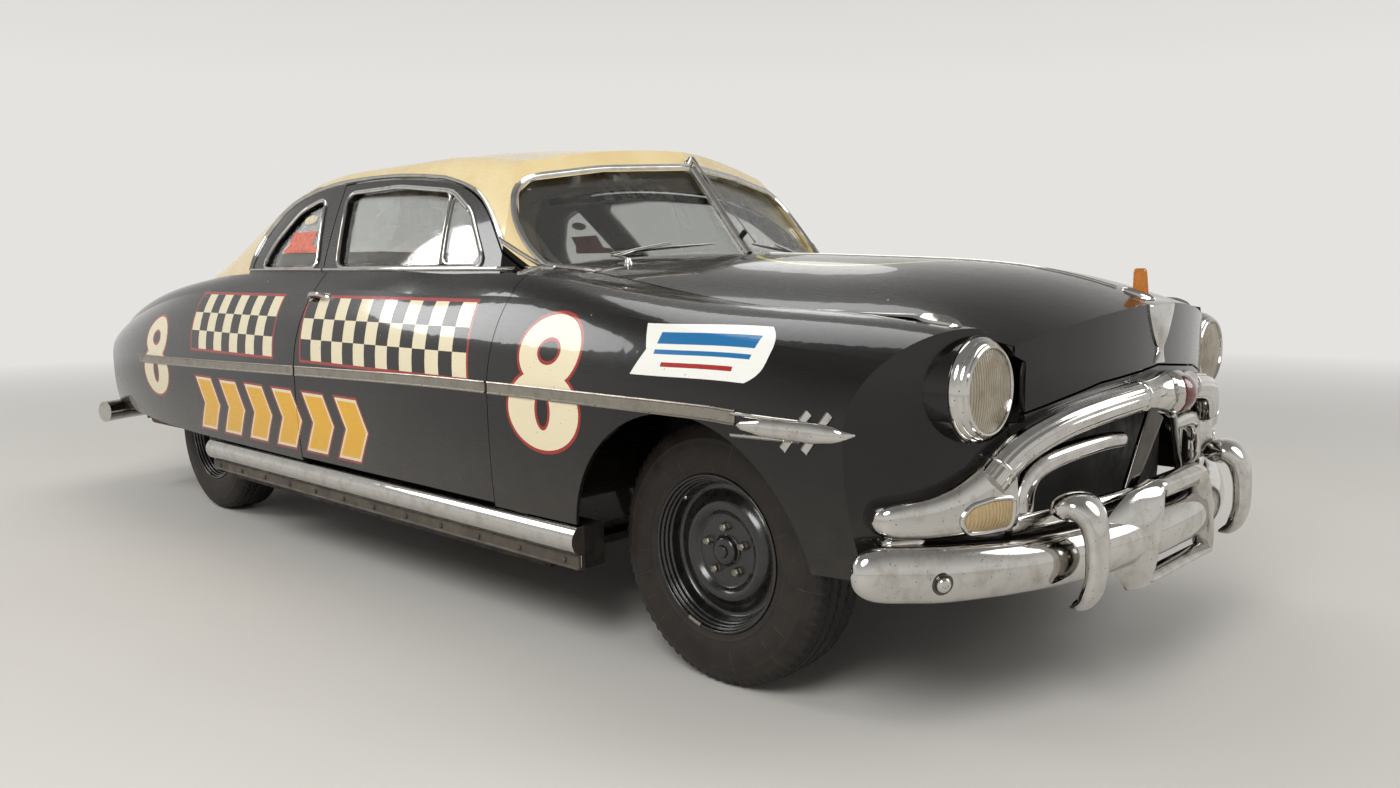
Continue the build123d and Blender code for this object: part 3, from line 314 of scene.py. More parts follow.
frame_black = worn_paint("sprayed frame black", "#141312", "#3B352E", "#3A2A1E")
bare_steel = worn_paint("oiled bare steel", "#5C5853", "#47403A", "#5A3B26", 0.7)
radiator_black = worn_paint("radiator black", "#121212", "#2C2823", "#241C16")
coat_nodes(frame_black, "floor_and_frame", "floor_tunnel", "rear_wheelhouses", "fuel_tank",
           "front_suspension", "rear_axle")
coat_nodes(worn_paint("painted cast iron", "#4A1A14", "#3B2F28", "#2E211A"), "engine")
coat_nodes(bare_steel, "driveline", "knuckle_left", "knuckle_right")
coat_nodes(worn_paint("rusty exhaust steel", "#5A4436", "#6B4B33", "#7A4526", 0.2), "exhaust")
coat_nodes(radiator_black, "radiator")

# Glass: flat laminated panes with a faint green tint and wiped smudges.
clear_glass, glass_tree, glass_shader = new_finish("pane glass", IOR=1.5, Transmission_Weight=1.0, Alpha=0.35)
cover_with(glass_shader, blend_colour(grain(glass_tree, 300), "#DCE8E0", "#E8EEE6"),
           ramp(grain(glass_tree, 70, 4.0, 0.6), 0.5, 0.8, 0.02, 0.12))
coat_nodes(clear_glass, "fixed_glass", "door_glass_left", "door_glass_right")

# Trim on the body: bright strips and rings pressed onto the panels and windows. Each follows
# the panel under it and rides with it.


def tree_of(*names):
    """A search tree over the faces of CAD nodes."""
    verts, faces = [], []
    for name in names:
        mesh = nodes[name].data
        base = len(verts)
        verts += [v.co.copy() for v in mesh.vertices]
        faces += [[base + i for i in p.vertices] for p in mesh.polygons]
    return BVHTree.FromPolygons(verts, faces)


def skin_of(form):
    """A search tree over the faces of a made shape."""
    return BVHTree.FromPolygons(form[0].tolist(), form[1])


def rounded(points, radius, count=6):
    """A closed outline with each corner replaced by a curve that starts radius metres away."""
    points = [np.array(p, float) for p in points]
    made = []
    for i, corner in enumerate(points):
        before, after = points[i - 1] - corner, points[(i + 1) % len(points)] - corner
        start = corner + before / np.linalg.norm(before) * min(radius, 0.45 * np.linalg.norm(before))
        end = corner + after / np.linalg.norm(after) * min(radius, 0.45 * np.linalg.norm(after))
        for share in np.linspace(0, 1, count):
            made.append((1 - share) ** 2 * start + 2 * share * (1 - share) * corner + share ** 2 * end)
    return np.array(made)


def grown(points, amount):
    """A closed 2-D outline moved outwards by amount metres along its own normals."""
    points = np.array(points, float)
    ahead = np.roll(points, -1, 0) - np.roll(points, 1, 0)
    normal = np.stack([ahead[:, 1], -ahead[:, 0]], 1) / np.linalg.norm(ahead, axis=1)[:, None]
    area = 0.5 * np.sum(points[:, 0] * np.roll(points[:, 1], -1) - np.roll(points[:, 0], -1) * points[:, 1])
    return points + normal * amount * np.sign(area)


def evenly(points, step, closed=False):
    """Points about step metres apart along a polyline."""
    points = np.array(points, float)
    if closed:
        points = np.vstack([points, points[:1]])
    runs = np.r_[0, np.cumsum(np.linalg.norm(np.diff(points, axis=0), axis=1))]
    count = max(int(runs[-1] / step), 2)
    marks = np.linspace(0, runs[-1], count + 1)
    made = np.stack([np.interp(marks, runs, points[:, k]) for k in range(points.shape[1])], 1)
    return made[:-1] if closed else made


def curved(points, count=12):
    """A Catmull-Rom curve: each run is the cubic set by the points at and beyond its ends."""
    points = np.array(points, float)
    ends = np.vstack([2 * points[0] - points[1], points, 2 * points[-1] - points[-2]])
    share = np.linspace(0, 1, count, endpoint=False)[:, None]
    made = []
    for a, b, c, d in zip(ends, ends[1:], ends[2:], ends[3:]):
        made.append(0.5 * (2 * b + (c - a) * share + (2 * a - 5 * b + 4 * c - d) * share ** 2
                           + (3 * b - a - 3 * c + d) * share ** 3))
    return np.vstack(made + [points[-1:]])


def smoothed(values, times):
    """Values after each takes the mean of itself and its neighbours, weighed 1, 2, 1, times over."""
    values = np.array(values, float)
    for _ in range(times):
        values[1:-1] = (values[:-2] + 2 * values[1:-1] + values[2:]) / 4
    return values


def seated(points, direction, target, back=0.5):
    """Slides points along a direction to the target; gives places and outward normals.

    A point that misses takes its place from its neighbours."""
    direction = Vector(direction)
    places, normals, hit = np.array(points, float), np.zeros((len(points), 3)), np.zeros(len(points), bool)
    for i, point in enumerate(points):
        spot, normal, _, _ = target.ray_cast(Vector(point) - direction * back, direction, 2 * back)
        if spot is not None:
            places[i], normals[i], hit[i] = spot, normal, True
    marks = np.arange(len(points))
    axis = int(np.argmax(np.abs(direction)))
    places[:, axis] = np.interp(marks, marks[hit], places[hit, axis])
    for k in range(3):
        normals[:, k] = np.interp(marks, marks[hit], normals[hit, k])
    facing = np.sign(-(normals @ np.array(direction)))
    normals = smoothed(normals * np.where(facing == 0, 1, facing)[:, None], 3)
    return places, normals / np.linalg.norm(normals, axis=1)[:, None]


def ringed(rings, closed=False):
    """A skin over rings with the same number of points: closed on itself, or with a face at each end."""
    rings = np.array(rings, float)
    rounds, count = rings.shape[:2]
    faces = []
    for i in range(rounds if closed else rounds - 1):
        a, b = i * count, (i + 1) % rounds * count
        faces += [(a + k, a + (k + 1) % count, b + (k + 1) % count, b + k) for k in range(count)]
    if not closed:
        faces += [tuple(range(count)), tuple(range((rounds - 1) * count, rounds * count))]
    return rings.reshape(-1, 3), faces


def swept(places, normals, section, closed=False, widths=1.0, heights=1.0, size=1.0):
    """A tube along places: section points are (across, outward), scaled by widths, heights and size."""
    places, section = np.array(places, float), np.array(section, float)
    normals = np.broadcast_to(normals, places.shape)
    ahead = np.roll(places, -1, 0) - np.roll(places, 1, 0)
    if not closed:
        ahead[0], ahead[-1] = places[1] - places[0], places[-1] - places[-2]
    ahead /= np.linalg.norm(ahead, axis=1)[:, None]
    out = normals - ahead * np.sum(normals * ahead, 1)[:, None]
    out /= np.linalg.norm(out, axis=1)[:, None]
    side = np.cross(out, ahead)
    widths, heights = (np.broadcast_to(np.multiply(scale, size), len(places))[:, None, None]
                       for scale in (widths, heights))
    return ringed(places[:, None] + side[:, None] * section[:, :1] * widths
                  + out[:, None] * section[:, 1:] * heights, closed)


def turned(profile, centre, axis, count=64, closed=False):
    """A lathed shape: profile points are (radius, height along the axis); ends on the axis close."""
    profile, axis = np.array(profile, float), np.array(axis, float)
    first = np.cross(axis, (0, 0, 1) if abs(axis[2]) < 0.9 else (1, 0, 0))
    first /= np.linalg.norm(first)
    angle = np.arange(count) / count * 2 * np.pi
    spokes = np.cos(angle)[:, None] * first + np.sin(angle)[:, None] * np.cross(axis, first)
    return ringed(np.array(centre) + spokes * profile[:, None, :1] + axis * profile[:, None, 1:], closed)


def joined(*parts):
    """Several (verts, faces) pairs as one."""
    verts, faces = [], []
    for part_verts, part_faces in parts:
        base = len(verts)
        verts += list(part_verts)
        faces += [tuple(base + i for i in face) for face in part_faces]
    return np.array(verts), faces


def mirrored(form):
    """The same shape on the other side of the car."""
    return form[0] * (1, -1, 1), form[1]


def placed(name, data):
    """A new object in the scene."""
    made = bpy.data.objects.new(name, data)
    bpy.context.scene.collection.objects.link(made)
    return made


def piece(name, form, material=chrome, body="root", sharp=35, uv=None):
    """Makes an object of (verts, faces) that rides a body, its faces turned outwards."""
    mesh = bpy.data.meshes.new(name)
    mesh.from_pydata(form[0].tolist(), [], form[1])
    if uv is not None:
        mesh.uv_layers.new(name="round").data.foreach_set("uv", uv.ravel())
    work = bmesh.new()
    work.from_mesh(mesh)
    bmesh.ops.remove_doubles(work, verts=work.verts, dist=1e-6)
    bmesh.ops.recalc_face_normals(work, faces=work.faces)
    work.to_mesh(mesh)
    work.free()
    mesh.materials.append(material)
    mesh.shade_smooth()
    mesh.set_sharp_from_angle(angle=math.radians(sharp))
    made = placed(name, mesh)
    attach(made, body)
    return made


def on_both_sides(name, form, material=chrome, body="root", sharp=35):
    """A left piece and its mirror image; body may have a place for the side's name."""
    for side, shape in (("left", form), ("right", mirrored(form))):
        piece(f"{name}_{side}", shape, material, body.format(side), sharp)


def half_round(half_width, height, count=6, sink=0.002):
    """The section of a domed strip, its foot sunk a little into the panel."""
    angle = np.linspace(0, np.pi, count)
    dome = [(half_width * math.cos(a), height * math.sin(a)) for a in angle]
    return [(half_width, -sink)] + dome + [(-half_width, -sink)]


def channel(half_width, height, lip):
    """The section of a strip with a raised lip along each edge."""
    inner = half_width - lip
    return [(half_width, -0.002), (half_width, height * 0.7), (half_width - lip * 0.5, height),
            (inner, height * 0.45), (-inner, height * 0.45), (-half_width + lip * 0.5, height),
            (-half_width, height * 0.7), (-half_width, -0.002)]


side_skin = tree_of("rear_body", "roof_panel", "door_left", "front_fender_left", "cowl")
door_skin = tree_of("door_left")
door_front_x = 0.988
door_rear_x = -0.196
belt_door_x = (0.886, -0.248)
seam_share = 0.006


def side_path(points, step=0.012, closed=False, target=side_skin):
    """A line of (x, z) points seated on the car's left side."""
    flat = evenly(points, step, closed)
    return seated(np.insert(flat, 1, 1.0, axis=1), (0, -1, 0), target)


drip_line = ((0.957, 1.07), (0.836, 1.155), (0.74, 1.226), (0.639, 1.294), (0.56, 1.337), (0.481, 1.365),
             (0.37, 1.392), (0.264, 1.409), (-0.015, 1.43), (-0.304, 1.432), (-0.522, 1.416),
             (-0.727, 1.373), (-0.838, 1.315), (-0.89, 1.241), (-0.904, 1.15), (-0.886, 1.088))
on_both_sides("drip_rail", swept(*side_path(curved(drip_line)), half_round(0.008, 0.011)))

door_window = ((0.752, 1.1), (0.56, 1.272), (0.4, 1.346), (0.03, 1.38), (-0.318, 1.372), (-0.15, 1.1))
quarter_window = ((-0.312, 1.1), (-0.495, 1.362), (-0.64, 1.318), (-0.745, 1.19), (-0.765, 1.1))
ring_section = [(0.008, -0.002), (0.008, 0.004), (0.005, 0.008), (0.001, 0.006), (-0.003, 0.007),
                (-0.008, 0.003), (-0.008, -0.002)]
door_ring = side_path(grown(rounded(door_window, 0.045), 0.007), 0.01, True, door_skin)
on_both_sides("door_window_ring", swept(*door_ring, ring_section, True), body="door_{}")
quarter_ring = side_path(grown(rounded(quarter_window, 0.04), 0.007), 0.01, True)
on_both_sides("quarter_window_ring", swept(*quarter_ring, ring_section, True))

glass_skin = tree_of("door_glass_left")
vent_post = ((0.498, 1.1), (0.378, 1.352))
vent_ring = rounded(((0.735, 1.104), (0.56, 1.262), (0.4, 1.338), (0.512, 1.104)), 0.03)
vent_post = side_path(vent_post, 0.02, target=glass_skin)
vent_ring = side_path(vent_ring, 0.01, True, glass_skin)
on_both_sides("vent_post", swept(*vent_post, half_round(0.011, 0.009)), body="door_{}")
on_both_sides("vent_frame", swept(*vent_ring, half_round(0.005, 0.006), True), body="door_{}")

belt_z = 1.088
for name, start, end, body in (
    ("cowl_belt_strip", 0.978, belt_door_x[0] + seam_share, "root"),
    ("belt_strip", belt_door_x[0] - seam_share, belt_door_x[1] + seam_share, "door_{}"),
    ("quarter_belt_strip", belt_door_x[1] - seam_share, -0.884, "root"),
):
    belt_path = side_path(((start, belt_z), (end, belt_z)))
    on_both_sides(name, swept(*belt_path, half_round(0.007, 0.009)), body=body)

strip_line = curved(((1.94, 0.743), (1.748, 0.747), (0.748, 0.744), (0.048, 0.729), (-1.112, 0.702),
                     (-1.712, 0.691)))
for name, start, end, body in (
    ("fender_strip", 1.955, door_front_x + seam_share, "root"),
    ("door_strip", door_front_x - seam_share, door_rear_x + seam_share, "door_{}"),
    ("quarter_strip", door_rear_x - seam_share, -1.712, "root"),
):
    run = np.linspace(start, end, max(int((start - end) / 0.02), 4))
    heights = np.interp(run, strip_line[::-1, 0], strip_line[::-1, 1])
    strip_path = side_path(np.stack([run, heights], 1), 0.02)
    on_both_sides(name, swept(*strip_path, channel(0.018, 0.005, 0.006)), dull_bright, body)

# Windscreen surround: a bright ring round both panes and a centre post; the rear window has a
# thinner ring.
screen_half = ((0, 1.43), (0.335, 1.413), (0.6, 1.374), (0.666, 1.331), (0.708, 1.241), (0.714, 1.16),
               (0.69, 1.083), (0.386, 1.103), (0, 1.126))
front_skin = tree_of("roof_panel", "cowl", "fixed_glass")


def front_path(points, step, closed, target, direction=(-1, 0, 0)):
    """A line of (y, z) points seated on the car's front, or on its back."""
    flat = evenly(points, step, closed)
    return seated(np.insert(flat, 0, -0.9 * direction[0], axis=1), direction, target, 1.5)


def both_halves(points):
    """A closed outline from its left half, which starts and ends on the middle line."""
    points = np.array(points, float)
    return np.vstack([points, (points * (-1, 1))[-2:0:-1]])


screen_ring = front_path(grown(rounded(both_halves(screen_half), 0.05), 0.01), 0.012, True, front_skin)
piece("windscreen_ring", swept(*screen_ring, [(0.012, -0.003), (0.012, 0.005), (0.007, 0.01), (0.001, 0.007),
                                              (-0.006, 0.009), (-0.012, 0.003), (-0.012, -0.003)], True))
post = np.linspace((1.144, 0, 1.128), (0.884, 0, 1.43), 24)
post_out = np.array((0.757, 0, 0.653))
piece("windscreen_post", swept(post + post_out * 0.004, post_out, half_round(0.014, 0.014, 8, 0.01)))
rear_half = ((0, 1.42), (0.42, 1.394), (0.532, 1.332), (0.562, 1.2), (0.522, 1.158), (0, 1.17))
rear_skin = tree_of("roof_panel", "fixed_glass")
rear_ring = front_path(grown(rounded(both_halves(rear_half), 0.06), 0.006), 0.012, True, rear_skin, (1, 0, 0))
piece("rear_window_ring", swept(*rear_ring, ring_section, True))

# Hood and fender brightwork: a thin line down the hood, a faceted nose trim with an amber fin,
# and a spear on each fender.
hood_skin = tree_of("hood")
fender_skin = tree_of("front_fender_left")


def top_path(points, step, target, direction=(0, 0, -1)):
    """A line of (x, y) points seated on the top of a panel."""
    flat = evenly(points, step)
    return seated(np.insert(flat, 2, 1.0, axis=1), direction, target)


hood_line = top_path(((2.43, 0.0), (1.245, 0.0)), 0.02, hood_skin)
piece("hood_centre_strip", swept(*hood_line, half_round(0.005, 0.005)), body="hood")
spear_line = top_path(((2.377, 0.69), (1.925, 0.69)), 0.012, fender_skin)
spear_share = np.linspace(0, 1, len(spear_line[0]))
spear_size = np.maximum(np.minimum(spear_share / 0.1, 1) ** 0.5 * (1 - 0.85 * spear_share), 0.05)
spear_section = [(0.02, -0.003), (0.018, 0.006), (0.008, 0.014), (0.0, 0.022), (-0.008, 0.014),
                 (-0.018, 0.006), (-0.02, -0.003)]
on_both_sides("fender_spear", swept(*spear_line, spear_section, size=spear_size))

# Tyres: plain black cross-ply rubber with ribs and shoulder blocks, browned by age. The mould
# left thin radial marks on the sidewalls.
axle_z = 0.352
wheel_places = {
    "front_left": (1.748, 0.743), "front_right": (1.748, -0.743),
    "rear_left": (-1.399, 0.705), "rear_right": (-1.399, -0.705),
}


def tyre_rubber():
    """Dusty black rubber: brown haze on the sidewalls and fine radial lines by angle."""
    material, tree, shader = new_finish("tyre rubber", Specular_IOR_Level=0.35)
    uv = put(tree, "UVMap", uv_map="round").outputs[0]
    turn, band, _ = put(tree, "SeparateXYZ", {0: uv}).outputs
    haze = ramp(grain(tree, 60, 4.0), 0.3, 0.75)
    sides = ramp(band, 0.3, 0.42, 0.0, 1.0)
    colour = blend_colour(sides, "#161413", blend_colour(haze, "#1A1715", "#332B25"))
    line = calc("COMPARE", calc("FRACT", calc("MULTIPLY", turn, 26.0)), 0.5, 0.012)
    line = calc("MULTIPLY", line, sides)
    faint = calc("MULTIPLY", line, ramp(grain(tree, 25), 0.45, 0.7, 0.0, 0.5))
    cover_with(shader, blend_colour(faint, colour, "#6A5A4C"), ramp(haze, 0.0, 1.0, 0.5, 0.72))
    bump(shader, grain(tree, 1.5, 3.0), 0.25, 0.0004)
    bump(shader, line, 0.5, 0.0008)
    return material

tyre_finish = tyre_rubber()
tyre_half = ((0.206, 0.0845), (0.212, 0.09), (0.222, 0.0925), (0.226, 0.096), (0.23, 0.095),
             (0.245, 0.0985), (0.262, 0.1), (0.28, 0.0993), (0.298, 0.0966), (0.302, 0.0978),
             (0.306, 0.0955), (0.318, 0.0905), (0.328, 0.085), (0.334, 0.0825), (0.34, 0.079),
             (0.3445, 0.0745), (0.347, 0.07), (0.3485, 0.064), (0.3495, 0.056), (0.3505, 0.044),
             (0.3512, 0.03), (0.3517, 0.015), (0.3519, 0.0))
block_count = 72
block_depth = 0.005
groove_depth = 0.007
groove_half = 0.0034
tread_from = 0.3465


def tyre(x, y):
    """A lathed tyre and its map of (angle, place across), both as shares.

    Grooves are cut where the tread's place across meets wavy lines by angle."""
    half = evenly(tyre_half, 0.0035)
    profile = np.vstack([half, (half * (1, -1))[-2::-1]])
    count, rows = 288, len(profile)
    angle = np.arange(count) / count * 2 * np.pi
    radius = np.tile(profile[:, 0], (count, 1))
    place_across = profile[:, 1][None, :]
    block_share = ((angle * block_count / (2 * np.pi)) % 1)[:, None]
    wobble = 0.004 * np.abs(block_share * 4 - 2) - 0.004
    tread = radius > tread_from
    for line in (-0.052, -0.018, 0.018, 0.052):
        groove = tread & (np.abs(place_across - line - wobble) < groove_half)
        radius = np.where(groove, radius - groove_depth, radius)
    shoulder = (np.abs(place_across) > 0.064) & (profile[:, 0][None, :] > 0.33)
    radius = np.where(shoulder & (block_share < 0.28), radius - block_depth, radius)
    verts = np.stack([x + radius * np.cos(angle)[:, None], np.broadcast_to(y + place_across, radius.shape),
                      axle_z + radius * np.sin(angle)[:, None]], 2)
    index = np.arange(count)[:, None] * rows + np.arange(rows - 1)[None, :]
    after = (np.arange(count)[:, None] + 1) % count * rows + np.arange(rows - 1)[None, :]
    faces = np.stack([index, index + 1, after + 1, after], 2).reshape(-1, 4)
    turns = angle[:, None] / (2 * np.pi) + np.array((0, 0, 1, 1)) / count
    bands = np.abs(np.linspace(-1, 1, rows))
    bands = np.stack([bands[:-1], bands[1:], bands[1:], bands[:-1]], 1)
    shape = (count, rows - 1, 4)
    uv = np.stack([np.broadcast_to(turns[:, None], shape), np.broadcast_to(bands, shape)], 3)
    return (verts.reshape(-1, 3), faces.tolist()), uv


for corner, (x, y) in wheel_places.items():
    form, uv = tyre(x, y)
    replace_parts(piece(f"road_tyre_{corner}", form, tyre_finish, f"wheel_{corner}", 40, uv),
                f"tyre_{corner}")

# Wheels: pressed steel in satin black, rolled steps inside the lip, a raised ring round the
# centre; five bright nuts, a greasy hub cap, a valve and a balance weight. A drum shows behind.
wheel_paint, wheel_tree, wheel_shader = new_finish("black wheel enamel", Coat_Weight=0.6, Coat_Roughness=0.12)
wheel_dust = ramp(grain(wheel_tree, 30, 4.0), 0.45, 0.8, 0.0, 0.5)
cover_with(wheel_shader, blend_colour(wheel_dust, "#0C0B0B", "#2A241F"),
           ramp(wheel_dust, 0.0, 0.5, 0.25, 0.5))
bump(wheel_shader, grain(wheel_tree, 2.5), 0.12, 0.0003)
rim_face = ((0.2055, 0.0855), (0.2085, 0.088), (0.209, 0.091), (0.207, 0.093), (0.2035, 0.0925),
            (0.2015, 0.089), (0.2005, 0.084), (0.1975, 0.0825), (0.1955, 0.08), (0.1948, 0.074),
            (0.1918, 0.0722), (0.1898, 0.069), (0.189, 0.0625), (0.186, 0.0605), (0.184, 0.057),
            (0.183, 0.048), (0.1805, 0.036), (0.174, 0.029), (0.164, 0.029), (0.153, 0.035), (0.143, 0.045),
            (0.133, 0.053), (0.123, 0.056), (0.113, 0.0545), (0.105, 0.049), (0.099, 0.043), (0.093, 0.04),
            (0.086, 0.0392), (0.0, 0.0392))
rim_back = ((0.0, 0.034), (0.086, 0.034), (0.099, 0.037), (0.113, 0.049), (0.123, 0.0505), (0.133, 0.0475),
            (0.143, 0.0395), (0.153, 0.029), (0.164, 0.023), (0.1745, 0.022), (0.177, 0.015),
            (0.177, -0.086), (0.203, -0.0905), (0.206, -0.086), (0.204, -0.08), (0.183, -0.076),
            (0.183, 0.03), (0.187, 0.056), (0.199, 0.08))
cap_profile = ((0.0, 0.038), (0.044, 0.038), (0.044, 0.04), (0.04, 0.0425), (0.039, 0.05), (0.035, 0.0555),
               (0.028, 0.058), (0.018, 0.0578), (0.0165, 0.062), (0.015, 0.0635), (0.0, 0.0638))
drum_profile = ((0.0, -0.062), (0.142, -0.062), (0.142, 0.018), (0.096, 0.018), (0.0, 0.033))
nut_profile = ((0, 0), (0.0135, 0), (0.0135, 0.003), (0.0115, 0.006), (0.0115, 0.016), (0.0085, 0.019),
               (0.0065, 0.019), (0.0065, 0.017), (0, 0.017))
valve_profile = ((0, 0), (0.004, 0), (0.004, 0.02), (0.0052, 0.021), (0.0052, 0.032), (0.003, 0.034),
                 (0, 0.034))
nut_circle = 0.0635
nut_out = 0.0385
clip_circle = 0.2045
clip_out = 0.092


def on_wheel(x, y, radius, turn, out):
    """Places on the outer face of the wheel at (x, y): radius from its middle, at angles turn."""
    along, up = radius * np.cos(turn), radius * np.sin(turn)
    return np.stack([x + along, np.full(len(turn), y + np.sign(y) * out), axle_z + up], 1)


for corner, (x, y) in wheel_places.items():
    centre, axis = (x, y, axle_z), (0, np.sign(y), 0)
    body = f"wheel_{corner}"
    rim = turned(curved(rim_face, 3).tolist() + list(rim_back), centre, axis, 96, True)
    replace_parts(piece(f"road_wheel_{corner}", rim, wheel_paint, body, 50), body)
    drum, cap = turned(drum_profile, centre, axis, 64), turned(cap_profile, centre, axis, 48)
    piece(f"brake_drum_{corner}", drum, wheel_paint, body)
    piece(f"hub_cap_{corner}", cap, wheel_paint, body)
    nut_turns = 2 * np.pi * np.arange(5) / 5 + 0.35
    nuts = [turned(nut_profile, spot, axis, 6) for spot in on_wheel(x, y, nut_circle, nut_turns, nut_out)]
    valve = turned(valve_profile, (x - 0.11, y + axis[1] * 0.05, axle_z + 0.132), axis, 16)
    clip = on_wheel(x, y, clip_circle, np.linspace(-2.02, -1.8, 9), clip_out)
    weight = swept(clip, axis, half_round(0.006, 0.004))
    piece(f"wheel_nuts_{corner}", joined(*nuts), dull_bright, body, 25)
    piece(f"tyre_valve_{corner}", valve, dull_bright, body)
    piece(f"balance_weight_{corner}", weight, dull_bright, body)

# Headlamps: two-step chromium rims round warm fluted lenses, each over a bright reflector.
lamp_centre = (2.408, 0.683, 0.814)
lamp_axis = (1, 0, 0)
rim_ring = ((0.1035, -0.004), (0.119, 0.0005), (0.1205, 0.006), (0.1195, 0.012), (0.116, 0.019),
            (0.113, 0.0215), (0.112, 0.0265), (0.1085, 0.031), (0.104, 0.0335), (0.103, 0.0375),
            (0.099, 0.04), (0.095, 0.0395), (0.093, 0.035), (0.0925, 0.02), (0.1, 0.01))
dome = [(r, 0.0345 + 0.0125 * (1 - (r / 0.0935) ** 2)) for r in np.linspace(0.0935, 0, 14)]
dome_back = [(r, z - 0.004) for r, z in dome[::-1]]
bowl = [(r, -0.055 + 0.085 * (r / 0.0925) ** 2) for r in np.linspace(0.0, 0.0925, 12)]
bowl_back = [(r + 0.001, z - 0.003) for r, z in bowl[::-1][:-1]] + [(0.0, -0.058)]


def pair(form):
    """A left shape together with its mirror image."""
    return joined(form, mirrored(form))


def waves(tree, scale, way):
    """Soft parallel bands across one axis; scale is how many of them fill 0.31 metres."""
    return put(tree, "TexWave", {"Vector": spot_in(tree), "Scale": scale}, bands_direction=way).outputs["Fac"]


lens_glass, lens_tree, lens_shader = new_finish("fluted lamp glass", IOR=1.5, Transmission_Weight=0.55,
                                                Alpha=0.8)
flutes = waves(lens_tree, 36.0, "Y")
lens_colour = blend_colour(ramp(grain(lens_tree, 45), 0.35, 0.7), "#F0E6CF", "#CDBFA2")
# The lens colour is painted darker between the flutes: painted shade of the ribbed glass.
cover_with(lens_shader, blend_colour(ramp(flutes, 0.15, 0.55, 0.75, 0.0), lens_colour, "#7E7159"),
           ramp(grain(lens_tree, 25), 0.4, 0.7, 0.1, 0.22))
bump(lens_shader, flutes, 0.35, 0.0012)
rims = piece("headlamp_rims", pair(turned(rim_ring, lamp_centre, lamp_axis, 96, True)))
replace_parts(rims, "headlamps")
bulb = ((0.0, -0.052), (0.014, -0.052), (0.016, -0.03), (0.012, -0.012), (0.006, -0.004), (0.0, -0.002))
for name, profile, count, finish, slot in (
    ("headlamp_lenses", dome + dome_back, 72, lens_glass, "clear_glass"),
    ("headlamp_reflectors", bowl + bowl_back, 72, chrome, "chrome_plate"),
    ("headlamp_bulbs", bulb, 24, dull_bright, "chrome_plate"),
):
    piece(name, pair(turned(profile, lamp_centre, lamp_axis, count)), finish, "root")
# Front bumper: a heavy plated bar with round ends, two hooked guards, a trapezoid frame between
# them, and a round-headed bolt near each end. It hangs on arms from the frame rails.


def oval_section(across, outward, count=28, power=0.85, flutes=0, ridge=0.0):
    """A rounded section: each axis is a cosine or sine to a power; flutes ripple its outer half."""
    angle = np.arange(count) / count * 2 * np.pi
    shape = np.stack([across * np.sign(np.cos(angle)) * np.abs(np.cos(angle)) ** power,
                      outward * np.sign(np.sin(angle)) * np.abs(np.sin(angle)) ** power], 1)
    return shape * (1 + ridge * np.cos(flutes * angle))[:, None]


def bowed(across, heights, front, bend=0.3):
    """Places at (across, height), set back from front by bend * across^2, and their outward normals."""
    across = np.array(across, float)
    places = np.stack([front - bend * across ** 2, across, np.broadcast_to(heights, across.shape)], 1)
    return places, np.stack([np.ones(len(across)), 2 * bend * across, np.zeros(len(across))], 1)


def read_along(places, marks, values):
    """One value for each place, read off values at marks, which are shares of the way along."""
    return np.interp(np.linspace(0, 1, len(places)), marks, values)


def blunt(values, start, reach, power=2.8):
    """1 up to start, then (1 - s^power)^(1/power) towards 0, where s is the share of the reach."""
    share = np.clip((values - start) / reach, 0, 0.9995)
    return (1 - share ** power) ** (1 / power)


def both_ways(values, sign=1):
    """Values along the left half, after the same values, times sign, along the right half."""
    return np.r_[sign * values[:0:-1], values]


bumper_rows = ((0.0, 0.418, 0.06, 0.04), (0.2, 0.416, 0.062, 0.041), (0.4, 0.411, 0.063, 0.042),
               (0.6, 0.408, 0.062, 0.042), (0.8, 0.414, 0.065, 0.042), (0.93, 0.428, 0.063, 0.038),
               (0.986, 0.434, 0.06, 0.036))
row_y, *row_values = np.array(bumper_rows).T
bumper_front = 2.6
bumper_bend = 0.318
bumper_end = 0.9
quarter_turn = np.linspace(0, np.pi / 2, 22)[1:]
bumper_y = np.r_[np.linspace(0, bumper_end, 70), bumper_end + 0.086 * np.sin(quarter_turn)]
bumper_sizes = [smoothed(np.interp(bumper_y, row_y, values), 6) for values in row_values]
bumper_sizes.append(blunt(bumper_y, bumper_end, 0.0861))
bumper_z, bumper_tall, bumper_deep, bumper_round = map(both_ways, bumper_sizes)
bumper_line = bowed(both_ways(bumper_y, -1), bumper_z, bumper_front, bumper_bend)
bar_form = swept(*bumper_line, oval_section(1, 1, 48, 1.0), widths=bumper_tall, heights=bumper_deep,
                 size=bumper_round)
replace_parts(piece("bumper_bar", bar_form, sharp=60), "front_bumper")

guard_route = curved(((2.556, 0.3), (2.592, 0.322), (2.612, 0.368), (2.616, 0.42), (2.612, 0.475),
                      (2.598, 0.52), (2.572, 0.542), (2.542, 0.536), (2.526, 0.512)))
guard_marks = (0, 0.06, 0.18, 0.45, 0.58, 0.72, 0.88, 0.97, 1)
guard_wide, guard_deep = (smoothed(read_along(guard_route, guard_marks, sizes), 3) for sizes in (
    (0.004, 0.018, 0.031, 0.036, 0.044, 0.062, 0.065, 0.046, 0.008),
    (0.004, 0.014, 0.022, 0.024, 0.027, 0.033, 0.036, 0.028, 0.006),
))
guard_places = np.insert(guard_route, 1, 0.49, axis=1)
guard_out = np.gradient(guard_places, axis=0)[:, ::-1] * (1, 0, -1)
on_both_sides("bumper_guard", swept(guard_places, guard_out, oval_section(1, 1, 32, 0.9), widths=guard_wide,
                                    heights=guard_deep), sharp=60)

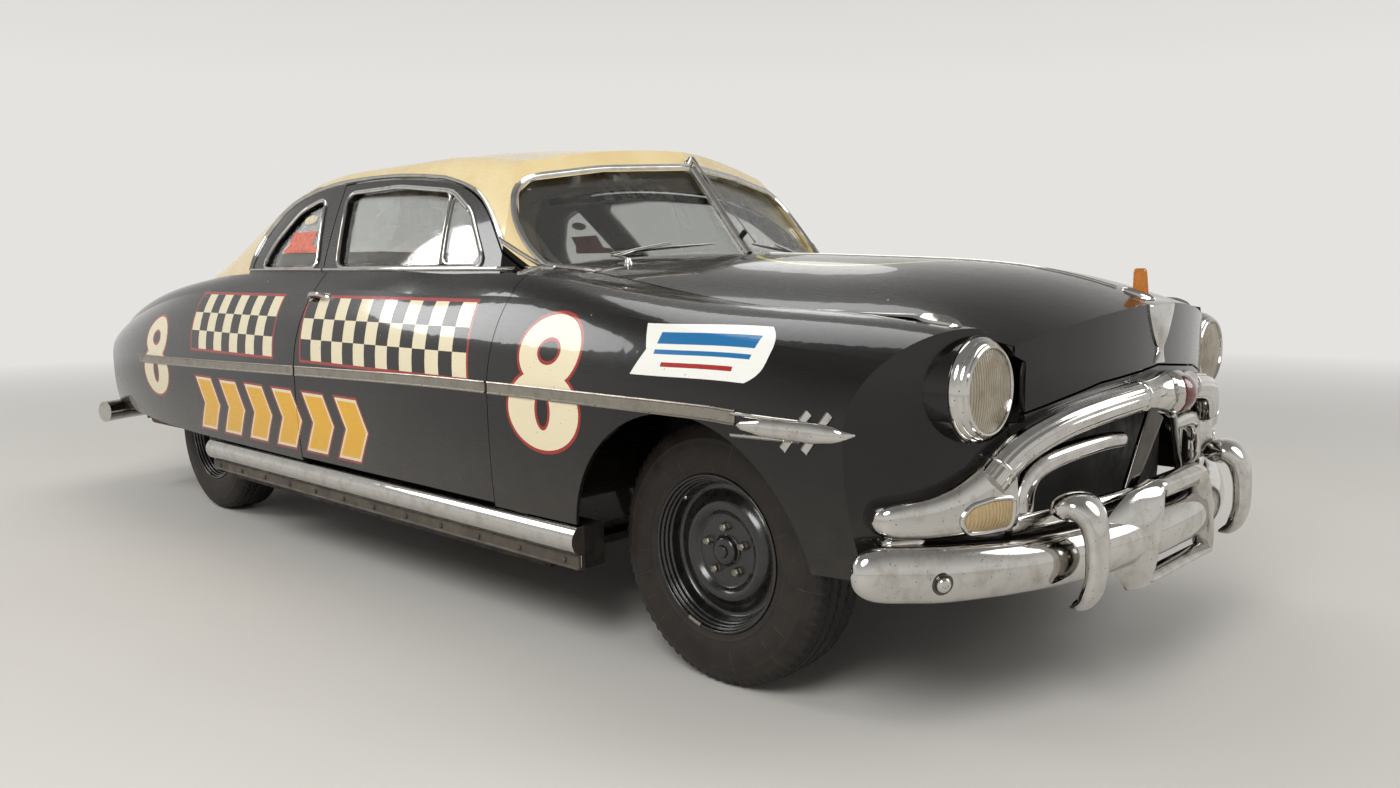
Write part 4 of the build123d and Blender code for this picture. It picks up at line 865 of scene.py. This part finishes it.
frame_corners = {
    "rim": ((2.586, 0.15, 0.556), (2.58, 0.255, 0.53), (2.566, 0.347, 0.462), (2.566, 0.3, 0.366),
            (2.58, 0.24, 0.29)),
    "ridge": ((2.63, 0.146, 0.546), (2.636, 0.168, 0.5), (2.637, 0.188, 0.43), (2.636, 0.208, 0.36),
              (2.628, 0.222, 0.306)),
    "lip": ((2.618, 0.136, 0.506), (2.62, 0.154, 0.47), (2.62, 0.172, 0.412), (2.62, 0.19, 0.358),
            (2.618, 0.202, 0.324)),
    "fold": ((2.585, 0.132, 0.504), (2.585, 0.15, 0.468), (2.585, 0.168, 0.41), (2.585, 0.186, 0.356),
             (2.585, 0.198, 0.326)),
}


def frame_loop(corners, count=20):
    """A closed loop from the corners of its left side: curved down the sides, straight across."""
    side = curved(corners, count)
    other = (side * (1, -1, 1))[::-1]
    below = np.linspace(side[-1], other[0], 9)[1:-1]
    above = np.linspace(other[-1], side[0], 9)[1:-1]
    return np.vstack([side, below, other, above])


corner_loops = [frame_loop(corners).ravel() for corners in frame_corners.values()]
round_loops = curved(corner_loops[-1:] + corner_loops + corner_loops[:2], 5)[5:25]
piece("bumper_plate_frame", ringed(round_loops.reshape(20, -1, 3), True), sharp=70)
bolt_places, bolt_ways = seated([(2.7, 0.835, 0.405)], (-1, 0, 0), skin_of(bar_form))
bolt = turned(((0, -0.006), (0.018, -0.006), (0.018, 0.003), (0.017, 0.007), (0.014, 0.011),
               (0.009, 0.0132), (0, 0.014)), bolt_places[0], bolt_ways[0], 32)
on_both_sides("bumper_bolt", bolt, sharp=40)
# A darker copy of the chromium plate for the bolt washers and grille struts: painted shade.
shade_darkened_chrome = plating("chromium plate darkened as painted shade", "#5F5C58", "#3C352D", 0.1, 0.26, 0.93)
washer = turned(((0.016, -0.008), (0.0255, -0.008), (0.0255, 0.0005), (0.0235, 0.003), (0.02, 0.0025),
                 (0.016, 0.0005)), bolt_places[0], bolt_ways[0], 40, True)
on_both_sides("bumper_bolt_washer", washer, shade_darkened_chrome, sharp=40)
bumper_arm = np.linspace((2.36, 0.368, 0.4), (2.56, 0.368, 0.41), 6)
bumper_arm = swept(bumper_arm, (0, 0, 1), oval_section(0.03, 0.026, 20, 0.4))
on_both_sides("bumper_arm", bumper_arm, frame_black, "root")

# Grille: a fluted tube arches from corner to corner under a centre cap, two bent inner bars and a
# lower bar stand behind it, and two plated struts, darkened with painted shade, run down from the cap.


def nose_line(rows, front, step=0.012):
    """A bowed line through (across, height) rows, with places about step metres apart."""
    flat = evenly(curved(rows), step)
    return bowed(flat[:, 0], flat[:, 1], front)


def patch(outline, direction, target, edge, crown, rings=7):
    """A domed plate over a closed 3-D outline: rings shrink to the middle, lifted crown * (1 - s^2)."""
    outline, direction = np.array(outline, float), np.array(direction, float)
    middle = outline.mean(0)
    loops = [seated(outline, direction, target)[0] + direction * 0.002]
    for share in np.linspace(1, 0.03, rings):
        spots, _ = seated(middle + (outline - middle) * share, direction, target)
        loops.append(spots - direction * (edge + crown * (1 - share ** 2)))
    return ringed(loops)


def mottled(name, light, dark, size, fine, low, high, detail=3.0, **sockets):
    """A finish of two tones in lumps of size millimetres; its roughness runs from low to high."""
    material, tree, shader = new_finish(name, **sockets)
    cover_with(shader, blend_colour(grain(tree, size, detail), light, dark),
               ramp(grain(tree, fine), 0.3, 0.7, low, high))
    return material, tree, shader


arch_rows = ((0.0, 0.766), (0.1, 0.765), (0.22, 0.757), (0.34, 0.744), (0.46, 0.722), (0.56, 0.688),
             (0.62, 0.652), (0.668, 0.606))
arch_places, arch_out = nose_line(arch_rows, 2.57, 0.008)
arch_size = read_along(arch_places, (0, 0.7, 1), (0.036, 0.037, 0.041))
arch_form = swept(arch_places, arch_out, oval_section(1, 1, 96, 1.0, 16, 0.022), size=arch_size)
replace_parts(piece("grille_arch", pair(arch_form), sharp=50), "grille")
collar_run = np.linspace(-0.98, 0.98, 9)
collar_half = 0.006
for name, at, tall in (("cap_collar", 0.162, 0.0405), ("corner_collar", 0.64, 0.043)):
    near = int(np.argmin(np.abs(arch_places[:, 1] - at)))
    way = arch_places[near + 1] - arch_places[near - 1]
    ring_places = arch_places[near] + collar_run[:, None] * collar_half * way / np.linalg.norm(way)
    swell = tall - collar_half + collar_half * np.sqrt(1 - collar_run ** 2)
    on_both_sides(name, swept(ring_places, arch_out[near], oval_section(1, 1, 32, 1.0), size=swell), sharp=30)
inner_rows = ((0.145, 0.652), (0.25, 0.655), (0.36, 0.647), (0.45, 0.632), (0.505, 0.61), (0.53, 0.575),
              (0.536, 0.54), (0.536, 0.505))
inner_places, inner_out = nose_line(inner_rows, 2.535, 0.008)
inner_size = read_along(inner_places, (0, 0.04, 0.6, 1), (0.004, 0.02, 0.026, 0.03))
inner_bar = swept(inner_places, inner_out, oval_section(1, 0.9, 40, 0.9), size=inner_size)
on_both_sides("grille_inner_bar", inner_bar, sharp=50)
lower_rows = ((-0.6, 0.496), (-0.4, 0.504), (-0.2, 0.51), (0.0, 0.512), (0.2, 0.51), (0.4, 0.504),
              (0.6, 0.496))
piece("grille_lower_bar", swept(*nose_line(lower_rows, 2.556), oval_section(0.024, 0.02, 36, 0.9)), sharp=50)
strut_places = np.linspace((2.566, 0.058, 0.712), (2.548, 0.18, 0.508), 14)
strut = swept(strut_places, (1.0, 0.28, 0.1), oval_section(1, 0.009, 20, 0.6),
              widths=np.linspace(0.031, 0.019, 14))
on_both_sides("grille_strut", strut, shade_darkened_chrome, sharp=40)
cap_rows = ((-0.158, 0.764), (-0.08, 0.762), (0.0, 0.76), (0.08, 0.762), (0.158, 0.764))
cap_places, cap_out = nose_line(cap_rows, 2.566, 0.006)
cap_swell = np.abs(cap_places[:, 1]) / 0.158
cap_form = swept(cap_places, cap_out, oval_section(1, 1, 48, 0.9),
                 widths=0.04 + 0.016 * np.exp(-(cap_swell / 0.42) ** 2),
                 heights=0.038 + 0.022 * np.exp(-(cap_swell / 0.38) ** 2))
piece("grille_cap", cap_form, sharp=50)
cap_skin = skin_of(cap_form)
medal_flat = rounded([(-0.034, 0.818), (0.034, 0.818), (0.052, 0.784), (0.04, 0.708), (0.0, 0.692),
                      (-0.04, 0.708), (-0.052, 0.784)], 0.018, 5)
medal_edge = np.insert(medal_flat, 0, 2.7, axis=1)
piece("cap_medallion", patch(medal_edge, (-1, 0, 0), cap_skin, 0.008, 0.006), sharp=45)
red_enamel, *_ = mottled("dark red medallion enamel", "#4A0D0C", "#6B1512", 8, 5, 0.15, 0.35, Coat_Weight=1.0,
                         Coat_Roughness=0.05)
medal_middle = np.array((0, 0, 0.757))
medal_inner = medal_middle + (medal_edge - medal_middle) * (1, 0.62, 0.8)
piece("medallion_inset", patch(medal_inner, (-1, 0, 0), cap_skin, 0.0155, 0.003), red_enamel, "root",
      45)
baffle = swept(*bowed(np.linspace(-0.56, 0.56, 41), 0.59, 2.43), oval_section(0.165, 0.008, 24, 0.35))
piece("radiator_baffle", baffle, radiator_black, "root")

# Parking lamps: plated housings that flow from the arch round the corners, each with a D-shaped
# ribbed amber lens in a bright rim. They replace the plain solids.
housing_end = 0.86
quarter_turn = np.linspace(0, np.pi / 2, 20)[1:]
housing_y = np.r_[np.linspace(0.602, housing_end, 40), housing_end + 0.062 * np.sin(quarter_turn)]
housing_top = np.interp(housing_y, (0.602, 0.64, 0.68, 0.735, 0.8, 0.86, 0.925),
                        (0.668, 0.66, 0.64, 0.612, 0.592, 0.585, 0.58))
housing_foot = np.interp(housing_y, (0.602, 0.66, 0.74, 0.815, 0.9, 0.925),
                         (0.492, 0.49, 0.488, 0.49, 0.5, 0.506))
housing_top, housing_foot = smoothed(housing_top, 12), smoothed(housing_foot, 12)
housing_deep = np.interp(housing_y, (0.602, 0.75, 0.86), (0.046, 0.05, 0.048))
housing_form = swept(*bowed(housing_y, (housing_top + housing_foot) / 2, 2.549), oval_section(1, 1, 44, 0.62),
                     widths=(housing_top - housing_foot) / 2, heights=housing_deep,
                     size=blunt(housing_y, housing_end, 0.0621))
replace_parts(piece("parking_lamp_housings", pair(housing_form), sharp=45), "parking_lamps")
housing_skin = skin_of(housing_form)
neck_y = np.linspace(0.8, 0.895, 12)
neck = swept(*bowed(neck_y, 0.484, 2.545), oval_section(0.02, 0.024, 28, 1.0),
             size=blunt(np.abs(neck_y - 0.8475), 0.015, 0.033))
on_both_sides("parking_lamp_neck", neck)
lens_flat = rounded([(0.688, 0.502), (0.688, 0.572), (0.745, 0.574), (0.8, 0.564), (0.826, 0.535),
                     (0.806, 0.502), (0.745, 0.497)], 0.016, 5)
lens_edge = bowed(lens_flat[:, 0], lens_flat[:, 1], 2.75)[0]
lens_way = -np.array((1, 0.46, 0)) / math.hypot(1, 0.46)
amber_lens, amber_tree, amber_shader = mottled("ribbed warm lamp glass", "#C9A773", "#E3CB9C", 12, 9, 0.08,
                                               0.2, IOR=1.5, Transmission_Weight=0.35)
bump(amber_shader, waves(amber_tree, 34.0, "Y"), 0.9, 0.002)
on_both_sides("parking_lamp_lens", patch(lens_edge, lens_way, housing_skin, 0.003, 0.006), amber_lens, "root",
              60)
lens_rim = seated(evenly(lens_edge, 0.006, True), lens_way, housing_skin)
on_both_sides("parking_lamp_rim", swept(*lens_rim, half_round(0.006, 0.007, 7), True))

# Nose of the hood: a plated V plate with a keel below it, and on top a plated foot that holds an
# amber fin. All are clipped to the hood and lift with it.
nose_flat = [(-0.088, 1.000), (-0.045, 1.004), (0.045, 1.004), (0.088, 1.000), (0.076, 0.958),
             (0.046, 0.905), (0.016, 0.872), (-0.016, 0.872), (-0.046, 0.905), (-0.076, 0.958)]
nose_edge = evenly(rounded([(2.7, y, z) for y, z in nose_flat], 0.014, 4), 0.006, True)
piece("nose_plate", patch(nose_edge, (-1, 0, 0), hood_skin, 0.004, 0.008, 12), body="hood", sharp=40)
keel_line = seated(np.linspace((2.7, 0, 0.884), (2.7, 0, 0.836), 14), (-1, 0, 0), hood_skin)
keel_wide = read_along(keel_line[0], (0, 0.35, 1), (0.02, 0.01, 0.032))
piece("nose_keel", swept(*keel_line, half_round(1.0, 0.011, 8, 0.003), widths=keel_wide), body="hood")
foot_line = top_path(((2.535, 0.0), (2.44, 0.0)), 0.006, hood_skin)
foot_share = np.linspace(-1, 1, len(foot_line[0]))
foot_size = np.sqrt(np.clip(1 - foot_share ** 2, 0.004, 1))
piece("ornament_foot", swept(*foot_line, half_round(0.013, 0.014, 10, 0.004), size=foot_size), body="hood")
amber_plastic, *_ = mottled("amber ornament plastic", "#C8741C", "#E79A35", 14, 6, 0.1, 0.28, IOR=1.49,
                            Transmission_Weight=0.4)
fin_rows = ((0.998, 2.494, 0.021, 0.0055), (1.02, 2.494, 0.0205, 0.0052), (1.045, 2.493, 0.019, 0.0046),
            (1.066, 2.492, 0.0178, 0.004), (1.074, 2.492, 0.016, 0.0034), (1.077, 2.492, 0.012, 0.0016))
fin_loops = [np.insert(oval_section(half_long, half_thick, 24, 0.8) + (x, 0), 2, z, axis=1)
             for z, x, half_long, half_thick in fin_rows]
piece("ornament_fin", ringed(fin_loops), amber_plastic, "hood", 50)

# Side badge: a plated rocket, plain, with two long wings and two slanting bars, on each fender.
badge_line = side_path(((1.958, 0.726), (2.262, 0.726)), 0.008, target=fender_skin)
badge_size = read_along(badge_line[0], (0, 0.05, 0.25, 0.7, 0.88, 0.96, 1),
                        (0.003, 0.011, 0.021, 0.025, 0.019, 0.01, 0.002))
on_both_sides("rocket_badge", swept(*badge_line, half_round(1.0, 0.62, 14, 0.1), size=badge_size), sharp=50)
for name, rows, wide in (("badge_wing_upper", ((1.941, 0.752), (2.14, 0.747)), 0.0045),
                         ("badge_wing_lower", ((1.941, 0.701), (2.14, 0.705)), 0.0045),
                         ("badge_bar_rear", ((2.092, 0.682), (2.16, 0.77)), 0.01),
                         ("badge_bar_front", ((2.149, 0.682), (2.212, 0.77)), 0.01)):
    bar = swept(*side_path(rows, 0.008, target=fender_skin), channel(wide, 0.006, 0.003))
    on_both_sides(name, bar, sharp=30)

# Door handles: a plated pull bar between two round roses.
handle_places, handle_out = side_path(((-0.055, 0.99), (-0.19, 0.987)), 0.006, target=door_skin)
handle_lift = read_along(handle_places, (0, 0.1, 0.3, 0.75, 0.92, 1),
                         (0.002, 0.016, 0.026, 0.026, 0.016, 0.002))
handle_wide = read_along(handle_places, (0, 0.2, 0.8, 1), (0.012, 0.008, 0.009, 0.013))
handle = swept(handle_places + handle_out * handle_lift[:, None], handle_out,
               oval_section(1.0, 0.0055, 20, 0.9), widths=handle_wide)
on_both_sides("door_handle", handle, body="door_{}", sharp=50)
rose = ((0, -0.003), (0.016, -0.003), (0.016, 0.002), (0.012, 0.005), (0.006, 0.007), (0, 0.0075))
roses = [turned(rose, handle_places[k], handle_out[k], 32) for k in (1, -2)]
on_both_sides("handle_roses", joined(*roses), body="door_{}", sharp=40)

# Sill flange: a grey-brown pressed flange under each moulding, held by a row of hexagon bolts.
flange_z = 0.279
flange_run = np.linspace((1.35, 0.951, flange_z), (-1.015, 0.951, flange_z), 80)
flange_form = swept(flange_run, (0, 1, 0), ((0.019, -0.006), (0.019, 0.002), (0.016, 0.004), (-0.012, 0.004),
                                            (-0.016, 0.008), (-0.019, 0.008), (-0.019, -0.006)))
flange_paint = worn_paint("weathered flange paint", "#4A443C", "#6F6453", "#5A4330")
on_both_sides("sill_flange", flange_form, flange_paint, "root", 30)
bolt_head = ((0, 0), (0.0085, 0), (0.0085, 0.005), (0.006, 0.007), (0, 0.0075))
flange_bolts = [turned(bolt_head, (x, 0.9545, flange_z), (0, 1, 0), 6) for x in np.linspace(1.29, -0.95, 12)]
on_both_sides("flange_bolts", joined(*flange_bolts), bare_steel, "root", 25)

# Windscreen wipers, and an aerial on a round base at the header, folded down beside the centre
# post onto a rubber rest.
wiper_places, wiper_out = front_path(((0.478, 1.128), (0.28, 1.146), (0.09, 1.16)), 0.01, False, front_skin)
wiper_thick = 0.35 + 0.65 * np.sin(np.linspace(0.1, np.pi - 0.1, len(wiper_places)))
arm_places, arm_out = front_path(((0.531, 1.1), (0.4, 1.132), (0.262, 1.152)), 0.01, False, front_skin)
arm_lift = np.linspace(0.014, 0.024, len(arm_places))
wiper_boss = turned(((0, -0.01), (0.015, -0.01), (0.015, 0.002), (0.011, 0.01), (0.008, 0.019),
                     (0, 0.021)), arm_places[0], arm_out[0], 28)
blade = swept(wiper_places + wiper_out * 0.01, wiper_out, oval_section(0.0045, 0.0075, 16, 0.9),
              size=wiper_thick)
on_both_sides("wiper_blade", blade, sharp=50)
arm = swept(arm_places + arm_out * arm_lift[:, None], arm_out, oval_section(0.0055, 0.0035, 16))
on_both_sides("wiper_arm", joined(arm, wiper_boss), sharp=50)
aerial_places = np.linspace((0.884, 0, 1.47), (1.176, 0, 1.17), 30)
aerial_way = aerial_places[-1] - aerial_places[0]
aerial_out = np.array((-aerial_way[2], 0, aerial_way[0])) / np.linalg.norm(aerial_way)
aerial_size = read_along(aerial_places, (0, 0.06, 0.1, 0.55, 0.56, 0.97, 0.975, 1),
                         (0.0075, 0.007, 0.0042, 0.0038, 0.0026, 0.0022, 0.004, 0.004))
aerial = swept(aerial_places, aerial_out, oval_section(1, 1, 16, 1.0), size=aerial_size)
aerial_base = turned(((0, -0.03), (0.019, -0.03), (0.019, -0.016), (0.016, -0.012), (0.012, -0.006),
                      (0.011, 0.003), (0.007, 0.007), (0, 0.008)), (0.88, 0, 1.47), (0.5, 0, 0.866), 32)
piece("folded_aerial", joined(aerial, aerial_base), sharp=50)
soft_rubber, *_ = mottled("soft black rubber", "#151413", "#2A2724", 7, 4, 0.55, 0.8, Specular_IOR_Level=0.3)
piece("aerial_rest", turned(((0, -0.03), (0.009, -0.03), (0.01, -0.012), (0.008, -0.003), (0, -0.001)),
                            aerial_places[25], aerial_out, 20), soft_rubber, "root")

# Labels inside the quarter windows: a plain salmon sheet and a plain cream oval, both worn paper.


def paper(name, light, dark):
    """Faded paper: blotches of two tones under a dull surface."""
    material, tree, shader = new_finish(name, Specular_IOR_Level=0.2)
    cover_with(shader, blend_colour(ramp(grain(tree, 16, 4.0), 0.35, 0.7), light, dark),
               ramp(grain(tree, 3), 0.3, 0.7, 0.6, 0.85))
    return material


quarter_skin = tree_of("fixed_glass")
sheet_flat = rounded([(-0.655, 1.236), (-0.463, 1.24), (-0.452, 1.182), (-0.392, 1.176), (-0.385, 1.154),
                      (-0.668, 1.154), (-0.664, 1.176), (-0.648, 1.182)], 0.006, 3)
oval_angle = np.arange(28) / 28 * 2 * np.pi
oval_flat = np.stack([-0.562 + 0.05 * np.cos(oval_angle), 1.286 + 0.0185 * np.sin(oval_angle)], 1)
for name, flat, finish in (("quarter_label", sheet_flat, paper("salmon paper", "#E58A77", "#CF7464")),
                           ("quarter_oval", oval_flat, paper("cream paper", "#E9DFC4", "#CFC2A2"))):
    label = patch(np.insert(flat, 1, 1.0, axis=1), (0, -1, 0), quarter_skin, 0.0006, 0.0, 3)
    on_both_sides(name, label, finish, "root")

# Tail lamps: ruby domes in plated rims, each on the round body that passes through the panel.
lamp_red, tail_tree, tail_shader = new_finish("ruby lamp glass", IOR=1.5, Transmission_Weight=0.35,
                                              Coat_Weight=0.6, Coat_Roughness=0.05)
# The red runs in lighter and darker bands up the lens: painted light and shade of ribs.
cover_with(tail_shader, blend_colour(waves(tail_tree, 42.0, "Z"), "#7A0A0A", "#B01A14"),
           ramp(grain(tail_tree, 12), 0.3, 0.7, 0.08, 0.2))
tail_spot, tail_way = (-2.5, 0.64, 0.64), (-1, 0, 0)
tail_body = turned(((0, -0.04), (0.03, -0.04), (0.05, -0.03), (0.05, 0.036), (0.044, 0.042), (0.036, 0.053),
                    (0.02, 0.0585), (0, 0.06)), tail_spot, tail_way, 56)
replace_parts(piece("tail_lamp_lenses", pair(tail_body), lamp_red, "root", 40), "tail_lamps")
tail_rim = turned(((0.049, 0.028), (0.0545, 0.032), (0.056, 0.038), (0.0535, 0.044), (0.048, 0.046),
                   (0.044, 0.043), (0.047, 0.036)), tail_spot, tail_way, 56, True)
piece("tail_lamp_rims", pair(tail_rim), sharp=50)

# Seats: bench cushions and backs in grey-brown ribbed cloth, each crowned, with sewn channels
# from front to back and round ends, on a dark base.


def ribbed_cloth():
    """Woven cloth: fine crossed threads, darker worn patches and a soft sheen."""
    material, tree, shader = new_finish("ribbed seat cloth", Specular_IOR_Level=0.2, Sheen_Weight=0.35,
                                        Sheen_Roughness=0.5)
    weave = calc("MULTIPLY", waves(tree, 110.0, "X"), waves(tree, 110.0, "Y"))
    colour = blend_colour(ramp(grain(tree, 70, 4.0), 0.35, 0.7), "#4B443C", "#37312B")
    cover_with(shader, blend_colour(weave, colour, "#6A6053"), ramp(grain(tree, 9), 0.3, 0.7, 0.75, 0.95))
    bump(shader, weave, 0.4, 0.0006)
    return material


seat_cloth = ribbed_cloth()


def cushion(profile, half_width, channel_pitch, puff):
    """A bench pad: its side profile runs across the car, each channel swollen by puff * |sin|, and
    shrinks by the blunt curve at both ends."""
    outline = rounded(profile, 0.045, 6)
    centre = outline.mean(0)
    section = np.stack([centre[0] - outline[:, 0], outline[:, 1] - centre[1]], 1)
    ends = 0.09
    finer = ends * np.linspace(0, 1, 16) ** 2
    even = np.linspace(-half_width, half_width, 181)
    across = np.unique(np.r_[even, half_width - finer, finer - half_width])
    size = blunt(np.abs(across), half_width - ends, ends, 2.4)
    size = size * (0.975 + puff * np.abs(np.sin(np.pi * across / channel_pitch)) ** 0.6)
    places = np.insert(np.tile(centre, (len(across), 1)), 1, across, axis=1)
    return swept(places, (0, 0, 1), section, size=size)


seat_base_paint = worn_paint("seat base board", "#1E1B18", "#37312A", "#2E261E")
seat_pads = {
    "front_seat_cushion": (((0.485, 0.452), (0.496, 0.54), (0.44, 0.592), (0.2, 0.583), (-0.06, 0.556),
        (-0.1, 0.5), (-0.085, 0.452)), 0.684),
    "front_seat_back": (((-0.085, 0.56), (-0.13, 0.8), (-0.158, 0.985), (-0.2, 1.006), (-0.248, 1.003),
        (-0.284, 0.94), (-0.235, 0.56)), 0.684),
    "rear_seat_cushion": (((-0.505, 0.452), (-0.504, 0.555), (-0.56, 0.603), (-0.72, 0.59), (-0.89, 0.566),
        (-0.93, 0.51), (-0.92, 0.452)), 0.564),
    "rear_seat_back": (((-0.915, 0.585), (-0.96, 0.78), (-1.004, 0.95), (-1.045, 0.963), (-1.08, 0.96),
        (-1.089, 0.9), (-1.085, 0.6)), 0.564),
}
for name, (profile, half_width) in seat_pads.items():
    pad = piece(name, cushion(profile, half_width, 0.105, 0.025), seat_cloth, "root", 60)
    if name.endswith("cushion"):
        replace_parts(pad, name.replace("_cushion", ""))
for name, low_x, high_x, inner_y, outer_y in (("front_seat_base", -0.19, 0.455, 0.23, 0.66),
                                              ("rear_seat_base", -0.9, -0.53, 0.23, 0.54)):
    run = np.linspace((low_x, (inner_y + outer_y) / 2, 0.372), (high_x, (inner_y + outer_y) / 2, 0.372), 8)
    base = swept(run, (0, 0, 1), oval_section((outer_y - inner_y) / 2, 0.082, 32, 0.25))
    on_both_sides(name, base, seat_base_paint, "root", 40)

# Dashboard in satin grey-brown paint with two round dials, a plated strip, and a black steering
# wheel on a painted column.
dash_paint = worn_paint("satin dash paint", "#2B2622", "#3B352E", "#332B24")
wheel_plastic, *_ = mottled("moulded black plastic", "#11100F", "#221E1A", 30, 8, 0.22, 0.38, Coat_Weight=0.5,
                            Coat_Roughness=0.15)
coat_nodes(dash_paint, "dashboard", "steering_column")
coat_nodes(wheel_plastic, "steering_wheel")
dial_way = (-0.985, 0, 0.17)
dial_paint, *_ = mottled("cream dial face", "#D9CDA9", "#C6B88F", 5, 4, 0.3, 0.5)
dial_ring = ((0.052, -0.006), (0.06, -0.006), (0.061, 0.006), (0.057, 0.011), (0.053, 0.01), (0.051, 0.004))
for name, y in (("speed_dial", 0.44), ("gauge_dial", 0.28)):
    spot = (0.962, y, 0.945)
    ring = turned(dial_ring, spot, dial_way, 48, True)
    face = turned(((0, -0.005), (0.0525, -0.005), (0.0525, 0.003), (0, 0.003)), spot, dial_way, 48)
    piece(name + "_ring", ring, sharp=50)
    piece(name + "_face", face, dial_paint, "root")
dash_strip = np.linspace((0.953, -0.7, 0.9), (0.953, 0.7, 0.9), 30)
piece("dash_strip", swept(dash_strip, (-1, 0, 0), half_round(0.007, 0.006)))

# Camera: the photograph's place, angle and lens, over a pale floor under soft lamps.
camera_data = bpy.data.cameras.new("camera")
camera_data.lens = 28.42
camera_data.sensor_width = 36.0
camera = placed("camera", camera_data)
yaw, pitch, roll = (math.radians(a) for a in (133.51, -6.73, -0.497))
ahead = Vector((math.cos(pitch) * math.cos(yaw), math.cos(pitch) * math.sin(yaw), math.sin(pitch)))
level = ahead.cross(Vector((0, 0, 1))).normalized()
above = level.cross(ahead)
right = level * math.cos(roll) + above * math.sin(roll)
top = above * math.cos(roll) - level * math.sin(roll)
turn = Matrix((right, top, -ahead)).transposed()
camera_spot = (3.647, -2.881, 1.099)
camera.matrix_world = Matrix.Translation(camera_spot) @ turn.to_4x4()
bpy.context.scene.camera = camera

backdrop_pale = "#E4E3E0"


def seen_directly(tree):
    """1 for rays that show the background: camera, mirror and glass rays."""
    rays = put(tree, "LightPath")
    seen = rays.outputs["Is Camera Ray"]
    for ray in ("Is Glossy Ray", "Is Transmission Ray"):
        seen = calc("MAXIMUM", seen, rays.outputs[ray])
    return seen


floor_finish, floor_tree, floor_shader = new_finish("pale floor", Roughness=0.6)
floor_tone = blend_colour(grain(floor_tree, 900, 4.0), "#D5D2CC", "#DBD8D2")
floor_tree.links.new(floor_tone, floor_shader.inputs["Base Color"])
floor_reach = put(floor_tree, "VectorMath", {0: spot_in(floor_tree)}, operation="LENGTH").outputs["Value"]
floor_fade = calc("MULTIPLY", ramp(floor_reach, 4.0, 11.0), seen_directly(floor_tree))
floor_glow = put(floor_tree, "Emission", {"Color": linear(backdrop_pale), "Strength": 1.0}).outputs[0]
floor_blend = put(floor_tree, "MixShader", {0: floor_fade, 1: floor_shader.outputs[0], 2: floor_glow})
floor_tree.links.new(floor_blend.outputs[0], floor_tree.nodes["Material Output"].inputs["Surface"])
floor_half = 30
floor_mesh = bpy.data.meshes.new("floor")
floor_mesh.from_pydata([(x * floor_half, y * floor_half, 0) for x, y in ((-1, -1), (1, -1), (1, 1), (-1, 1))],
                      [], [(0, 1, 2, 3)])
floor_mesh.materials.append(floor_finish)
placed("floor", floor_mesh)

for name, spot, aim, size, power in (
    ("key_lamp", (3.5, -5.0, 4.5), (0.6, 0, 0.7), 3.0, 210.0),
    ("fill_lamp", (6.0, 3.0, 3.5), (1.0, 0, 0.7), 3.5, 110.0),
    ("rear_lamp", (-5.0, -4.0, 4.5), (-0.8, 0, 0.8), 3.0, 130.0),
    ("top_lamp", (-1.5, 1.5, 6.5), (0, 0, 0), 4.0, 90.0),
    ("far_lamp", (-3.0, 5.5, 4.0), (-0.5, 0, 0.8), 1.6, 7.0),
):
    lamp_data = bpy.data.lights.new(name, "AREA")
    lamp_data.shape = "DISK"
    lamp_data.size = size
    lamp_data.energy = power
    lamp = placed(name, lamp_data)
    lamp.location = spot
    lamp.rotation_euler = (Vector(aim) - Vector(spot)).to_track_quat("-Z", "Y").to_euler()

world = bpy.data.worlds.new("studio")
world.use_nodes = True
bpy.context.scene.world = world
sky = world.node_tree
sky.nodes.clear()
height = put(sky, "SeparateXYZ", {0: put(sky, "TexCoord").outputs["Generated"]}).outputs[2]
sky_colour = blend_colour(ramp(height, 0.15, 0.75), backdrop_pale, "#8E8D8B")
pale = put(sky, "Background", {"Color": sky_colour, "Strength": 1.0}).outputs[0]
fill = put(sky, "Background", {"Color": linear(backdrop_pale), "Strength": 0.45}).outputs[0]
backdrop = put(sky, "MixShader", {0: seen_directly(sky), 1: fill, 2: pale}).outputs[0]
put(sky, "OutputWorld", {"Surface": backdrop})
bpy.context.scene.view_settings.view_transform = "Standard"
